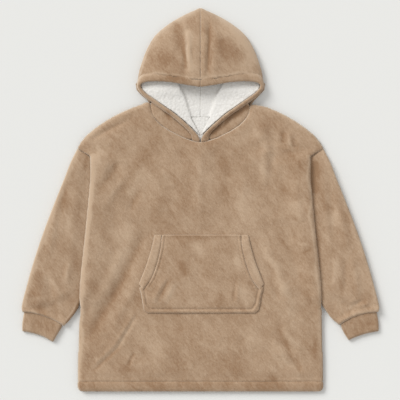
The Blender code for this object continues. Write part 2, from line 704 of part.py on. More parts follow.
def pocket_bulge(x, y):
    """How far the pocket stands off the front: none where it is sewn down, most at its mouths."""
    half = np.abs(x - POCKET_SHIFT)
    sewn = np.minimum(POCKET_TOP_Y - y, y - POCKET_BOTTOM_Y)
    sides = np.where(y < POCKET_MOUTH[-1].y, along(np.array(POCKET_SIDE, float), y) - half, 60)
    off_seams = ease(np.minimum(sewn, sides) / 34)
    mouth = np.exp(-((distance_to(POCKET_MOUTH, half, y) / 55) ** 2))
    return POCKET_MOUTH_LIFT * off_seams * (0.35 + 0.65 * mouth)


def make_pocket():
    """The kangaroo pocket between its facings, sewn down along its top, lower sides and bottom."""
    rows = POCKET_ROWS
    outer_x = along(POCKET_BODY_SIDE, rows)
    half = columns_between(outer_x, np.zeros_like(rows), ((1.2, 0.03), (4.0, 0.08)), 5, 8.0)
    x, y = both_halves(half, rows)
    side = np.vstack([(POCKET_BODY_SIDE[0][0], POCKET_TOP_Y), POCKET_BODY_SIDE, (0, POCKET_BOTTOM_Y)])
    to_edge = np.minimum(both_sides(side, x, y), POCKET_TOP_Y - y)
    x = x + POCKET_SHIFT
    underside = POCKET_UNDERSIDE + pocket_bulge(x, y)
    relief = np.maximum(folds_at(POCKET_FOLDS, x, y) + 0.6, 0) * ease(to_edge / 24)
    full = underside + POCKET_WALL + relief
    top = rounded(full, underside + EDGE_RIM, to_edge, 3.6)
    wall("pocket", grid_of(x, y, top), grid_of(x, y, underside), "plush")


def make_pocket_facing(name, side):
    """The turned facing along one slanted pocket mouth."""
    steps = np.linspace(0, 1, 9)
    mouth, seam = smooth_through(POCKET_MOUTH, 8), smooth_through(POCKET_FACING_SEAM, 8)
    mouth_points = mouth[np.round(steps * (len(mouth) - 1)).astype(int)]
    seam_points = seam[np.round(steps * (len(seam) - 1) * 0.985).astype(int)] + (LOOSE_SEAM_GAP, 0)
    shares = np.array([0, 0.07, 0.2, 0.5, 0.8, 0.93, 1])[None, :, None]
    plan = mouth_points[:, None] * (1 - shares) + seam_points[:, None] * shares
    x, y = plan[..., 0], plan[..., 1]
    width = np.linalg.norm(mouth_points - seam_points, axis=1)[:, None]
    to_edge = np.minimum(shares[..., 0], 1 - shares[..., 0]) * width
    to_edge = np.minimum(to_edge, (POCKET_TOP_Y - y) + 0.01)
    x = x * side + POCKET_SHIFT
    underside = POCKET_UNDERSIDE + pocket_bulge(x, y)
    top = rounded(underside + FACING_WALL, underside + EDGE_RIM, to_edge, 4.0)
    wall(name, grid_of(x, y, top), grid_of(x, y, underside), "plush")


TOP_SHARES = np.array([0, 0.1, 0.22, 0.36, 0.5, 0.64, 0.77, 0.88, 0.955])
BACK_SHARES = np.array([0.86, 0.7, 0.52, 0.34, 0.17, 0])
SIDE_COLUMN = len(TOP_SHARES)
TURN_SHARE = 0.29  # where the middle point of a turned side lies, as on a quarter round


def crown_edge_y(x):
    """Where the hood ends above the band, across the crown: clear of it where the seam turns the corner."""
    crown = np.array([(row.seam_x, row.seam_y) for row in FACE_EDGE[:7]])
    clearance = LOOSE_SEAM_GAP + CORNER_CLEARANCE * ease((x - 140) / 45)
    return np.interp(x, *smooth_through(crown, 4).T) + clearance


def crown_level(section, x, inset, side):
    """The height of the hood's crown, with its folds, at a distance from its middle."""
    half_width = max(section.half_width - inset, 0.01)
    share = np.clip(np.abs(x) / half_width, 0, 1)
    rise = section.height - inset - section.side_level
    folds = folds_at(HOOD_FOLDS, x * side, section.y) * ease((540 - section.y) / 50)
    return section.side_level + rise * (1 - share**2.6) ** 0.62 + folds * ease((half_width - x) / 30)


def hood_outline_ring(section, inset, side, last_crown_row):
    """One half ring of the hood: from the crown seam, over and round the side, to the back seam."""
    half_width = max(section.half_width - inset, 0)
    level_top = section.side_level
    turn = min(level_top - inset, 0.42 * half_width) if half_width > inset else 0
    crown_x = TOP_SHARES * half_width
    crown_z = crown_level(section, crown_x, inset, side)
    back_x = BACK_SHARES * max(half_width - turn, 0)
    x = np.concatenate([crown_x, [half_width, half_width - TURN_SHARE * turn, half_width - turn], back_x])
    side_z = [level_top, inset + TURN_SHARE * (level_top - inset), inset]
    z = np.concatenate([crown_z, side_z, back_x * 0 + inset])
    y = np.full(len(x), section.y - (1.6 * inset if section.half_width == 0 else 0))
    if last_crown_row:
        y[: SIDE_COLUMN + 1] = crown_edge_y(x[: SIDE_COLUMN + 1])
    return np.stack([np.maximum(x, SEAM_GAP / 2), y, z], 1)


def hood_side_ring(section, inset, share):
    """Below the band: the hood's side and its back, which ends along the back neckline."""
    half_width = section.half_width - inset
    turn = 7.0 - inset * 0.5
    back_x = BACK_SHARES * (half_width - turn)
    side_x = [half_width, half_width - TURN_SHARE * turn, half_width - turn]
    x = np.concatenate([TOP_SHARES * 0 + half_width, side_x, back_x])
    side_z = [section.height, inset + TURN_SHARE * (section.height - inset), inset]
    z = np.concatenate([TOP_SHARES * 0 + section.height, side_z, back_x * 0 + inset])
    neck_y = np.interp(x, *BACK_NECK[::-1].T) + LOOSE_SEAM_GAP
    y = section.y + (neck_y - HOOD_SIDE_SECTIONS[-1].y) * share
    return np.stack([np.maximum(x, SEAM_GAP / 2), y, z], 1)


def make_hood_half(name, side):
    """One outer side of the hood, from the crown seam round to the back seam."""
    grids = []
    for inset in (0.0, HOOD_WALL):
        last = len(HOOD_SECTIONS) - 1
        rows = [hood_outline_ring(s, inset, side, i == last) for i, s in enumerate(HOOD_SECTIONS)]
        count = len(HOOD_SIDE_SECTIONS)
        rows += [hood_side_ring(s, inset, (i + 1) / count) for i, s in enumerate(HOOD_SIDE_SECTIONS)]
        grids.append(np.array(rows) * (side, 1, 1))
    keep = np.ones((grids[0].shape[0] - 1, grids[0].shape[1] - 1), bool)
    keep[len(HOOD_SECTIONS) - 1 :, :SIDE_COLUMN] = False
    wall(name, *grids, "plush", keep)


def band_ring(station, ahead, behind, side):
    """One ring of the face band: a strip with round edges between the hood's edge and the free edge."""
    seam, free = np.array(station[:3], float), np.array(station[3:], float)
    forward = (np.array(ahead[3:]) + ahead[:3]) - (np.array(behind[3:]) + behind[:3])
    reach = free - seam
    width = np.linalg.norm(reach)
    reach = reach / width
    normal = np.cross(reach, forward)
    normal = normal / np.linalg.norm(normal)
    profile = ((0, 0.66), (0.5, 1), (0.82, 0.9), (0.94, 0.6), (1, 0.15))
    half = BAND_THICKNESS / 2
    upper = [seam + reach * width * share + normal * half * level for share, level in profile]
    lower = [seam + reach * width * share - normal * half * level for share, level in profile[::-1]]
    ring = np.array(upper + lower)
    ring[:, 0] = np.maximum(ring[:, 0], SEAM_GAP / 2)
    ring[:, 2] = np.maximum(ring[:, 2], BACK_TOP + LYING_GAP) if station[1] < 270 else ring[:, 2]
    return ring * (side, 1, 1)


def make_band(name, side):
    """Half of the band along the hood's face edge, from the crown seam round the corner to the neckline."""
    stations = smooth_through(FACE_EDGE, 2)
    last = len(stations) - 1
    rings = np.array(
        [
            band_ring(row, stations[min(i + 1, last)], stations[max(i - 1, 0)], side)
            for i, row in enumerate(stations)
        ]
    )
    shell = bmesh.new()
    corners = [[shell.verts.new(point * METRE_PER_MM) for point in ring] for ring in rings]
    count = len(rings[0])
    for ring, following in zip(corners, corners[1:]):
        for k in range(count):
            shell.faces.new((ring[k], ring[(k + 1) % count], following[(k + 1) % count], following[k]))
    shell.faces.new(corners[0][::-1])
    shell.faces.new(corners[-1])
    bmesh.ops.recalc_face_normals(shell, faces=shell.faces)
    mesh = bpy.data.meshes.new(name)
    shell.to_mesh(mesh)
    shell.free()
    new_object(name, mesh, "plush")


def make_hood_front(name, side):
    """The front of the hood below the band, a crescent sewn to the front neckline."""
    inner = np.array([(row.inner_x, row.inner_y) for row in HOOD_FRONT_ROWS])
    seam_y = np.array([row.seam_y for row in HOOD_FRONT_ROWS], float)
    seam = np.stack([along(NECKLINE, seam_y) - LOOSE_SEAM_GAP, seam_y], 1)
    shares = np.array([0, 0.15, 0.4, 0.7, 0.9, 1])[None, :, None]
    plan = inner[:, None] * (1 - shares) + seam[:, None] * shares
    x, y = plan[..., 0], plan[..., 1]
    width = np.linalg.norm(inner - seam, axis=1)[:, None]
    to_seam = (1 - shares[..., 0]) * width
    dip = HOOD_FRONT_DIP * ease(1 - shares[..., 0] * 1.6) * np.clip(width / 30, 0, 1)
    full = HOOD_FRONT_TOP - dip + 1.6 * np.sin(np.pi * shares[..., 0]) * np.clip(width / 40, 0, 1)
    top = rounded(full, full - SEAM_GROOVE, to_seam, SEAM_ROUNDING)
    underside = np.full_like(top, FRONT_UNDERSIDE)
    wall(name, grid_of(x * side, y, top), grid_of(x * side, y, underside), "plush")


SHEET_SHARES = np.array([0.0, 0.1, 0.3, 0.55, 0.8, 1.0])
FOLD_STEP = 7.0


def lining_ring(row, section, outside, side, last_crown_row):
    """One half ring of the hood lining: under the crown, round the side, then across the face opening."""
    inset = HOOD_WALL + LINING_GAP + (0 if outside else LINING_WALL)
    drop = LINING_WALL if outside else 0
    centre = LINING_CENTRE_TOP - drop
    edge_x, edge_z, fold_x, fold_z = row[1:]
    sheet_x = edge_x + (fold_x - edge_x) * SHEET_SHARES
    sheet_z = fold_z + (edge_z - fold_z) * (1 - SHEET_SHARES) ** 1.2 - drop
    step = min(FOLD_STEP, 0.45 * fold_x)
    centre_x = np.array([fold_x - 0.5 * step, fold_x - step, 0.5 * (fold_x - step), 0])
    centre_z = np.array([0.5 * (fold_z - drop + centre), centre, centre, centre])
    crown_x = np.full(len(TOP_SHARES), edge_x)
    crown_z = np.full(len(TOP_SHARES), edge_z - drop)
    side_x, side_z = edge_x, edge_z - drop
    if section:
        side_x, side_z = section.half_width - inset, section.side_level
        crown_x = TOP_SHARES * side_x
        crown_z = crown_level(section, crown_x, inset, side)
        sheet_x[0] = min(side_x - 2, edge_x + 8) if outside else edge_x
    x = np.concatenate([crown_x, [side_x], sheet_x, centre_x])
    z = np.concatenate([crown_z, [side_z], sheet_z, centre_z])
    y = np.full(len(x), row.y)
    if last_crown_row:
        y[: SIDE_COLUMN + 1] = crown_edge_y(x[: SIDE_COLUMN + 1])
    return np.stack([np.maximum(x, SEAM_GAP / 2), y, z], 1)


def make_hood_lining(name, side):
    """One half of the curly hood lining."""
    sections = {section.y: section for section in HOOD_SECTIONS}
    last_y = HOOD_SECTIONS[-1].y
    grids = []
    for outside in (True, False):
        rings = [
            lining_ring(row, sections.get(row.y), outside, side, row.y == last_y) for row in LINING_ROWS
        ]
        grids.append(np.array(rings))
    keep = np.ones((len(LINING_ROWS) - 1, grids[0].shape[1] - 1), bool)
    crown_rows = sum(row.y in sections for row in LINING_ROWS)
    keep[crown_rows - 1 :, : SIDE_COLUMN + 1] = False
    fold_column = SIDE_COLUMN + len(SHEET_SHARES)
    below_neck = np.array([row.y < LINING_NECK_SEAM_Y + 1 for row in LINING_ROWS[:-1]])
    keep[below_neck, fold_column:] = False
    wall(name, *[grid * (side, 1, 1) for grid in grids], "curly_lining", keep)


def make_neck_lining():
    """The body lining that shows inside the back of the neck, below its seam with the hood lining."""
    rows = np.linspace(LINING_NECK_SEAM_Y - LOOSE_SEAM_GAP, NECK_LINING_END_Y, 4)
    x, y = np.meshgrid(np.linspace(-NECK_LINING_HALF_WIDTH, NECK_LINING_HALF_WIDTH, 7), rows)
    top = np.full(x.shape, LINING_CENTRE_TOP - 0.2)
    underside = np.full(x.shape, HOOD_WALL + SEAM_GAP)
    wall("neck_lining", grid_of(x, y, top), grid_of(x, y, underside), "curly_lining")


def main():
    """Builds every piece."""
    for old in list(bpy.data.objects):
        bpy.data.objects.remove(old)
    make_back()
    make_front()
    make_hem("hem_back", 0.0, False)
    make_hem("hem_front", FRONT_UNDERSIDE, True)
    make_pocket()
    make_neck_lining()
    for name, side in (("left", -1), ("right", 1)):
        make_sleeve("sleeve_" + name, side)
        make_cuff("cuff_" + name, side)
        make_pocket_facing("pocket_facing_" + name, side)
        make_hood_half("hood_" + name, side)
        make_hood_lining("hood_lining_" + name, side)
        make_band("hood_band_" + name, side)
        make_hood_front("hood_front_" + name, side)


main()
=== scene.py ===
"""Dresses a wearable blanket hoodie that lies flat with its front up.

Every length is in metres unless its name or its class says millimetres. X runs across the garment, Y from its
hem to its hood, and Z up from the surface that it lies on.
"""

import logging
import math
from dataclasses import dataclass, field
from enum import Enum

import bmesh
import bpy
import numpy as np
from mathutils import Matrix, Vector, noise
from mathutils.bvhtree import BVHTree


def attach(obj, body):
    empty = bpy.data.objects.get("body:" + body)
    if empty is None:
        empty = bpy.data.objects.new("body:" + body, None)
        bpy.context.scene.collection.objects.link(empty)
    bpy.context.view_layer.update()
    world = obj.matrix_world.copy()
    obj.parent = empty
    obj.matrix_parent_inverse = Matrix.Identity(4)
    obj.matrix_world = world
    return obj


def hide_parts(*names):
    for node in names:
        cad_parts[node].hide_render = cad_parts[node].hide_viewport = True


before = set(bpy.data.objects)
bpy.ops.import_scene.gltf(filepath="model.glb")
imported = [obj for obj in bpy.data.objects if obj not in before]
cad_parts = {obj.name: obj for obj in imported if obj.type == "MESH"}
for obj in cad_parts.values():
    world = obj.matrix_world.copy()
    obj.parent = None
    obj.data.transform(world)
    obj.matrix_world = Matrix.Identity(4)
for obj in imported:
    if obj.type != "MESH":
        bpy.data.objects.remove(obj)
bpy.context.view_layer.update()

LOG = logging.getLogger("blanket_hoodie")
MM = 0.001
BODY = "root"
WELD_DISTANCE = 0.00001


class Side(Enum):
    """The garment's two sides, as the front is seen from above, with the sign of X there."""

    LEFT = -1
    RIGHT = 1

    @property
    def label(self) -> str:
        """The side's name as the nodes spell it."""
        return self.name.lower()


class Slot(Enum):
    """The material slots that the pieces' finishes belong to."""

    PLUSH = "plush"
    CURLY = "curly_lining"


@dataclass(frozen=True)
class Mark:
    """A soft-edged mark along a path, with its sizes in millimetres.

    As a crease it is a ridge, or a trough where its amount is below zero, and the amount is its height. As a
    stroke in the colour it is lighter or darker, for the nap's lay or as painted shade or a painted
    highlight, and the amount is a share of the step from the dark tone to the light one.
    """

    path: tuple[tuple[float, float], ...]
    width: float
    amount: float
    tapered: bool = True

    def at(self, x: np.ndarray, y: np.ndarray) -> np.ndarray:
        """Works out the mark's amount.

        Args:
            x: Places across the garment, in millimetres.
            y: Places along the garment, in millimetres.

        Returns:
            The amount at each place.
        """
        path = np.array(self.path, float)
        runs = np.linalg.norm(np.diff(path, axis=0), axis=1)
        total, walked = runs.sum(), 0.0
        nearest = np.full(x.shape, np.inf)
        share_along = np.zeros(x.shape)
        for (ax, ay), (bx, by), run in zip(path, path[1:], runs):
            share = np.clip(((x - ax) * (bx - ax) + (y - ay) * (by - ay)) / run**2, 0, 1)
            distance = np.hypot(x - ax - share * (bx - ax), y - ay - share * (by - ay))
            closer = distance < nearest
            nearest = np.where(closer, distance, nearest)
            share_along = np.where(closer, (walked + share * run) / total, share_along)
            walked += run
        taper = np.sqrt(np.clip(4 * share_along * (1 - share_along), 0.02, 1)) if self.tapered else 1
        return self.amount * taper * np.exp(-((nearest / self.width) ** 2))


def marks_at(marks: tuple[Mark, ...], x: np.ndarray, y: np.ndarray) -> np.ndarray:
    """Adds up the amounts of several marks at places in millimetres."""
    return sum((mark.at(x, y) for mark in marks), np.zeros(x.shape))


@dataclass(frozen=True)
class Nudge:
    """A soft pull on the cloth round a point, with its sizes in millimetres."""

    x: float
    y: float
    radius: float
    by_x: float
    by_y: float


def mirrored(path: tuple[tuple[float, float], ...], middle: float = 0.0) -> tuple[tuple[float, float], ...]:
    """Turns a path over to the garment's other side.

    Args:
        path: Points in millimetres.
        middle: The X that it is turned about.

    Returns:
        The path on the other side.
    """
    return tuple((2 * middle - x, y) for x, y in path)


# Paths that several marks follow on both sides
SHOULDER = ((-160, 280), (-200, 271), (-240, 253), (-275, 235), (-302, 217), (-326, 198), (-357, 164))
BAND_TOP = ((-178, 366), (-165, 373), (-136, 376), (-90, 371), (-39, 363), (0, 360))
POCKET_MIDDLE = 3.0
FACING_MIDDLE = ((-125, -112), (-134, -150), (-150, -200), (-172, -252))
FACING_SEAM = ((-105, -112), (-111, -152), (-121, -194), (-136, -235), (-152, -259))
FACING_STITCH = ((-109.5, -112), (-115, -152), (-125, -194), (-141, -237), (-157, -261))

# Where the laid garment isn't the same on its two sides
NUDGES = (
    Nudge(-155, 286, 24, -2, 7),
    Nudge(-412, -372, 30, 6, -3),
    Nudge(-443, -421, 24, 2, -5),
    Nudge(-375, -335, 26, 5, 1),
)
NECK_POINT_PULL = Nudge(1, 172, 26, 0, 5)
# Darker along the hem, and on both cuffs, the right one most
HEM_DARKENING = (Mark(((-365, -556), (365, -556)), 16, -0.22, False),)
CUFF_DARKENING = (
    Mark(((440, -395), (530, -372)), 30, -0.24, False),
    Mark(((-440, -410), (-520, -365)), 22, -0.06, False),
)

# How the nap is brushed, where it lies lighter and darker, and where painted shade and painted highlights lie
FRONT_NAP_AND_PAINTED_LIGHT = (
    # Painted highlights: pale rims along the body's folded sides, stronger on the left, which faces the light
    Mark(
        ((-324, 128), (-322, 95), (-322, 55), (-329, -22), (-338, -115), (-347, -196), (-353, -275)),
        7, 0.75, False,
    ),
    Mark(((-353, -275), (-357, -391), (-360, -481), (-360, -560)), 7, 0.6, False),
    Mark(((322, 128), (320, 60), (327, -22), (336, -115), (345, -196), (352, -275)), 4, 0.45, False),
    Mark(((355, -290), (358, -391), (361, -481), (361, -560)), 6, 0.2, False),
    # Painted highlights along the rims of both shoulders
    Mark(SHOULDER, 5, 0.4, False),
    Mark(mirrored(SHOULDER), 6, 0.3, False),
    # Most strokes below darken Body's crease troughs and lighten their ridges: painted shade and painted
    # highlights, with some of the nap's own lay
    Mark(((193, 175), (192, 40)), 12, 0.41),
    Mark(((222, 200), (214, 60)), 10, 0.24),
    Mark(((248, 205), (246, 165)), 9, -0.34),
    Mark(((265, 200), (268, 155)), 7, 0.41),
    Mark(((279, 190), (283, 150)), 7, -0.24),
    Mark(((275, 150), (290, 60)), 26, -0.30),
    Mark(((235, 60), (248, -35)), 22, -0.27),
    Mark(((285, -2), (306, -66)), 17, 0.41),
    Mark(((268, -52), (296, -62)), 7, -0.34),
    Mark(((205, 230), (160, 205)), 20, -0.30),
    Mark(((190, 215), (120, 170)), 22, 0.24),
    Mark(((60, 130), (80, 20), (70, -70)), 26, -0.22),
    Mark(((0, 150), (-6, 60), (0, -70)), 10, 0.24),
    Mark(((-40, 140), (-60, 30), (-50, -60)), 28, -0.14),
    Mark(((120, 90), (132, -10), (150, -80)), 22, 0.18),
    Mark(((-240, 112), (-302, 22)), 11, -0.43),
    Mark(((-222, 78), (-288, -20)), 9, 0.27),
    Mark(((-184, 28), (-212, -40)), 10, -0.32),
    Mark(((-300, 180), (-318, 40)), 9, 0.30),
    Mark(((-298, 142), (-270, 132)), 8, 0.34),
    Mark(((-120, 190), (-220, 60)), 20, -0.22),
    Mark(((-150, 130), (-230, -20)), 13, 0.14),
    Mark(((-200, -75), (-262, -130)), 28, 0.35),
    Mark(((-100, 20), (-150, -80)), 24, -0.14),
    Mark(((-166, -100), (-235, -249), (-298, -352), (-328, -414)), 13, -0.46),
    Mark(((-205, -110), (-268, -240), (-334, -350)), 17, 0.32),
    Mark(((-330, -160), (-346, -330)), 12, 0.14),
    Mark(((-130, -190), (-205, -330), (-262, -400)), 22, -0.14),
    Mark(((-243, -445), (-318, -511)), 5, -0.41),
    Mark(((-190, -345), (-246, -436), (-306, -490)), 8, 0.32),
    Mark(((-330, -455), (-342, -535)), 12, -0.27),
    Mark(((-250, -500), (-180, -520)), 14, -0.30),
    Mark(((-197, -456), (-215, -496)), 5, -0.46),
    Mark(((-150, -380), (-120, -520)), 22, 0.22),
    Mark(((-60, -370), (-70, -530)), 18, -0.19),
    Mark(((10, -360), (20, -450)), 18, 0.19),
    Mark(((60, -470), (130, -530)), 18, -0.27),
    Mark(((130, -370), (160, -470)), 18, 0.19),
    Mark(((180, -118), (243, -249), (270, -330)), 12, 0.51),
    Mark(((206, -205), (232, -300)), 9, -0.24),
    Mark(((228, -90), (262, -160)), 9, -0.35),
    Mark(((290, -130), (324, -132)), 7, 0.32),
    Mark(((300, -165), (330, -150)), 6, -0.27),
    Mark(((312, -268), (322, -320)), 9, -0.43),
    Mark(((340, -395), (344, -470)), 8, -0.46),
    Mark(((255, -300), (300, -400)), 26, 0.27),
    Mark(((222, -390), (270, -458), (302, -512)), 10, -0.49),
    Mark(((240, -385), (300, -450)), 8, 0.32),
    Mark(((214, -420), (262, -492), (300, -530)), 5, 0.30),
    Mark(((180, -520), (230, -535)), 14, -0.24),
)
SLEEVE_NAP_AND_PAINTED_LIGHT = (
    # Painted highlights along the sleeves' outer edges, stronger on the left, which faces the light
    Mark(((-364, 151), (-402, 64), (-445, -44), (-486, -161), (-517, -268), (-528, -318)), 8, 0.7, False),
    Mark(((364, 151), (402, 64), (445, -44), (486, -161), (517, -268), (528, -318)), 9, 0.35, False),
    # Painted shadow that the body's folded right side casts on the sleeve beside it
    Mark(((338, 114), (337, 60), (336, 10)), 11, -0.8),
    Mark(((337, 10), (350, -110), (362, -230)), 7, -0.35),
    # Painted highlights on the lips at the cuff seams
    Mark(((-527, -336), (-494, -341), (-461, -352), (-413, -372)), 5, 0.4, False),
    Mark(((527, -330), (489, -335), (463, -341), (432, -360), (418, -371)), 5, 0.35, False),
    # Painted highlight on the left sleeve's inner ridge, and painted shade on its inner edge, which faces
    # away from the light
    Mark(((-366, -300), (-394, -344), (-414, -366)), 3, 0.5),
    Mark(((-357, -298), (-387, -344), (-408, -368)), 3.5, -0.6),
    # Many strokes below follow the sleeves' creases: painted shade in the troughs, painted highlights on the
    # ridges, with some of the nap's own lay
    Mark(((-352, 128), (-384, 30)), 7, 0.12),
    Mark(((-338, 134), (-346, 84)), 7, -0.38),
    Mark(((-330, 70), (-334, -60)), 9, 0.19),
    Mark(((-403, 40), (-408, -31)), 9, -0.35),
    Mark(((-392, -20), (-388, -90)), 8, 0.30),
    Mark(((-366, 20), (-366, -70)), 9, -0.30),
    Mark(((-425, -60), (-440, -130)), 12, 0.20),
    Mark(((-394, -188), (-398, -246)), 8, 0.43),
    Mark(((-453, -217), (-412, -290)), 9, 0.45),
    Mark(((-372, -150), (-370, -230)), 9, -0.15),
    Mark(((-490, -210), (-480, -262), (-506, -282)), 17, -0.35),
    Mark(((-512, -296), (-470, -291), (-450, -330)), 6, 0.30),
    Mark(((-490, -318), (-462, -330)), 11, -0.33),
    Mark(((-438, -310), (-432, -350)), 9, -0.22),
    # More painted shadow beside the body's folded right side
    Mark(((345, 96), (346, 10)), 16, -0.38),
    Mark(((372, 100), (404, 20)), 8, 0.22),
    Mark(((362, 30), (376, -40)), 10, -0.30),
    Mark(((402, -14), (404, -78)), 10, 0.38),
    Mark(((432, -28), (452, -110)), 9, -0.18),
    Mark(((372, -60), (384, -150)), 9, 0.20),
    Mark(((404, -165), (404, -250)), 9, 0.38),
    Mark(((424, -230), (420, -300)), 9, -0.38),
    Mark(((460, -130), (482, -220)), 14, 0.15),
    Mark(((432, -330), (462, -312), (478, -300)), 6, 0.38),
    Mark(((480, -280), (508, -310)), 12, -0.28),
    Mark(((512, -240), (522, -300)), 9, 0.22),
)
HOOD_NAP_AND_PAINTED_LIGHT = (
    # Painted highlights along the band's upper edges
    Mark(BAND_TOP, 3.5, 0.45, False),
    Mark(mirrored(BAND_TOP), 3.5, 0.45, False),
    # Painted shade in the hood's creases, painted highlights on their ridges and a pale painted sheen along
    # its outer edges, with some of the nap's own lay
    Mark(((-82, 532), (-62, 480), (-50, 440)), 17, -0.6),
    Mark(((-49, 450), (-45, 384)), 8, -0.75),
    Mark(((-38, 512), (-34, 440), (-30, 376)), 8, 1.0),
    Mark(((-150, 478), (-124, 510), (-60, 552)), 11, 0.9),
    Mark(((-178, 396), (-160, 466)), 9, 0.8),
    Mark(((-130, 440), (-90, 400)), 28, -0.42),
    Mark(((-184, 384), (-178, 404)), 8, 0.20),
    Mark(((8, 545), (13, 470), (12, 390)), 7, -0.17),
    Mark(((27, 528), (28, 470), (22, 380)), 6, -0.85),
    Mark(((56, 480), (76, 400)), 22, -0.45),
    Mark(((96, 468), (100, 420)), 16, -0.20),
    Mark(((48, 552), (112, 496), (146, 440), (164, 396)), 26, 0.85),
    Mark(((120, 400), (110, 380)), 14, 0.23),
    # Painted shade on the band just below its upper edge on the left; the right barely changes
    Mark(((-170, 356), (-90, 358), (-20, 350)), 8, -0.29),
    Mark(((20, 350), (90, 360), (150, 362)), 8, 0.07),
    # Painted shadow that the band's right lip casts on the hood's front
    Mark(((38, 200), (88, 246), (134, 272)), 8, -0.95, False),
    # A painted highlight on a fold's ridge, and painted shade in a crease's trough
    Mark(((76, 240), (61, 214)), 4, 0.9),
    Mark(((-104, 262), (-88, 236)), 5, -0.6),
)
FACING_NAP = (
    Mark(FACING_MIDDLE, 14, 0.3, False),
    Mark(mirrored(FACING_MIDDLE, POCKET_MIDDLE), 14, 0.3, False),
)
POCKET_NAP_AND_PAINTED_LIGHT = (
    # Painted shade below the pocket's raised top edge; most of the rest darken its crease troughs and lighten
    # their ridges, with some of the nap's own lay
    Mark(((-110, -114), (110, -113)), 7, -0.28),
    Mark(((-34, -128), (14, -172)), 20, 0.34),
    Mark(((-62, -182), (-44, -234)), 13, -0.45),
    Mark(((36, -148), (62, -160)), 10, -0.28),
    Mark(((108, -142), (116, -224)), 12, 0.39),
    Mark(((-92, -236), (-128, -306)), 6, -0.42),
    Mark(((-76, -250), (-108, -312)), 9, 0.42),
    Mark(((-132, -230), (-142, -300)), 10, -0.22),
    Mark(((-28, -290), (-16, -320)), 16, 0.31),
    Mark(((20, -200), (34, -250)), 18, -0.22),
    Mark(((56, -280), (64, -318)), 14, -0.31),
    Mark(((104, -246), (99, -306)), 6, -0.28),
    Mark(((124, -250), (136, -318)), 14, 0.31),
)


def ease(share: np.ndarray) -> np.ndarray:
    """A smooth step from 0 to 1."""
    share = np.clip(share, 0, 1)
    return share * share * (3 - 2 * share)


def through(rows: tuple, steps: int) -> np.ndarray:
    """Runs a smooth curve through the rows of a table.

    Args:
        rows: The table's rows, each a tuple of numbers.
        steps: How many points to make from each row to the next.

    Returns:
        The denser rows.
    """
    table = np.array(rows, float)
    ends = np.vstack([2 * table[0] - table[1], table, 2 * table[-1] - table[-2]])
    t = np.linspace(0, 1, steps, endpoint=False)[:, None]
    spans = [
        0.5 * (2 * b + (c - a) * t + (2 * a - 5 * b + 4 * c - d) * t**2 + (3 * b - a - 3 * c + d) * t**3)
        for a, b, c, d in zip(ends, ends[1:], ends[2:], ends[3:])
    ]
    return np.vstack([*spans, table[-1:]])


def grain(points: np.ndarray, size: float, seed: float) -> np.ndarray:
    """Smooth noise from about -1 to 1.

    Args:
        points: The places, in metres.
        size: The size of one lump of the noise, in metres.
        seed: Picks one pattern of many.

    Returns:
        The noise at each place.
    """
    shift = Vector((seed * 7.3, seed * 3.1, seed * 5.7))
    return np.array([noise.noise(Vector(point) + shift) for point in points / size])


@dataclass(frozen=True)
class Ripple:
    """Small uneven waves in a surface, with sizes in metres."""

    size: float
    seed: float
    height: float
    stretch: tuple[float, float, float] = (1, 1, 1)

    def at(self, points: np.ndarray) -> np.ndarray:
        """Works out the waves' height at points in metres."""
        return grain(points * self.stretch, self.size, self.seed) * self.height


WANDER = Ripple(0.045, 31, 9)  # how far the strokes of the nap and of painted light stray, in millimetres


def curls(points: np.ndarray, size: float) -> np.ndarray:
    """The rounded tufts of a curly pile, from 0 between tufts to 1 on top of one."""
    first = [noise.voronoi(Vector(point))[0] for point in points / size]
    return np.array([1 - min(near[0] / 0.75, 1) ** 1.6 for near in first])


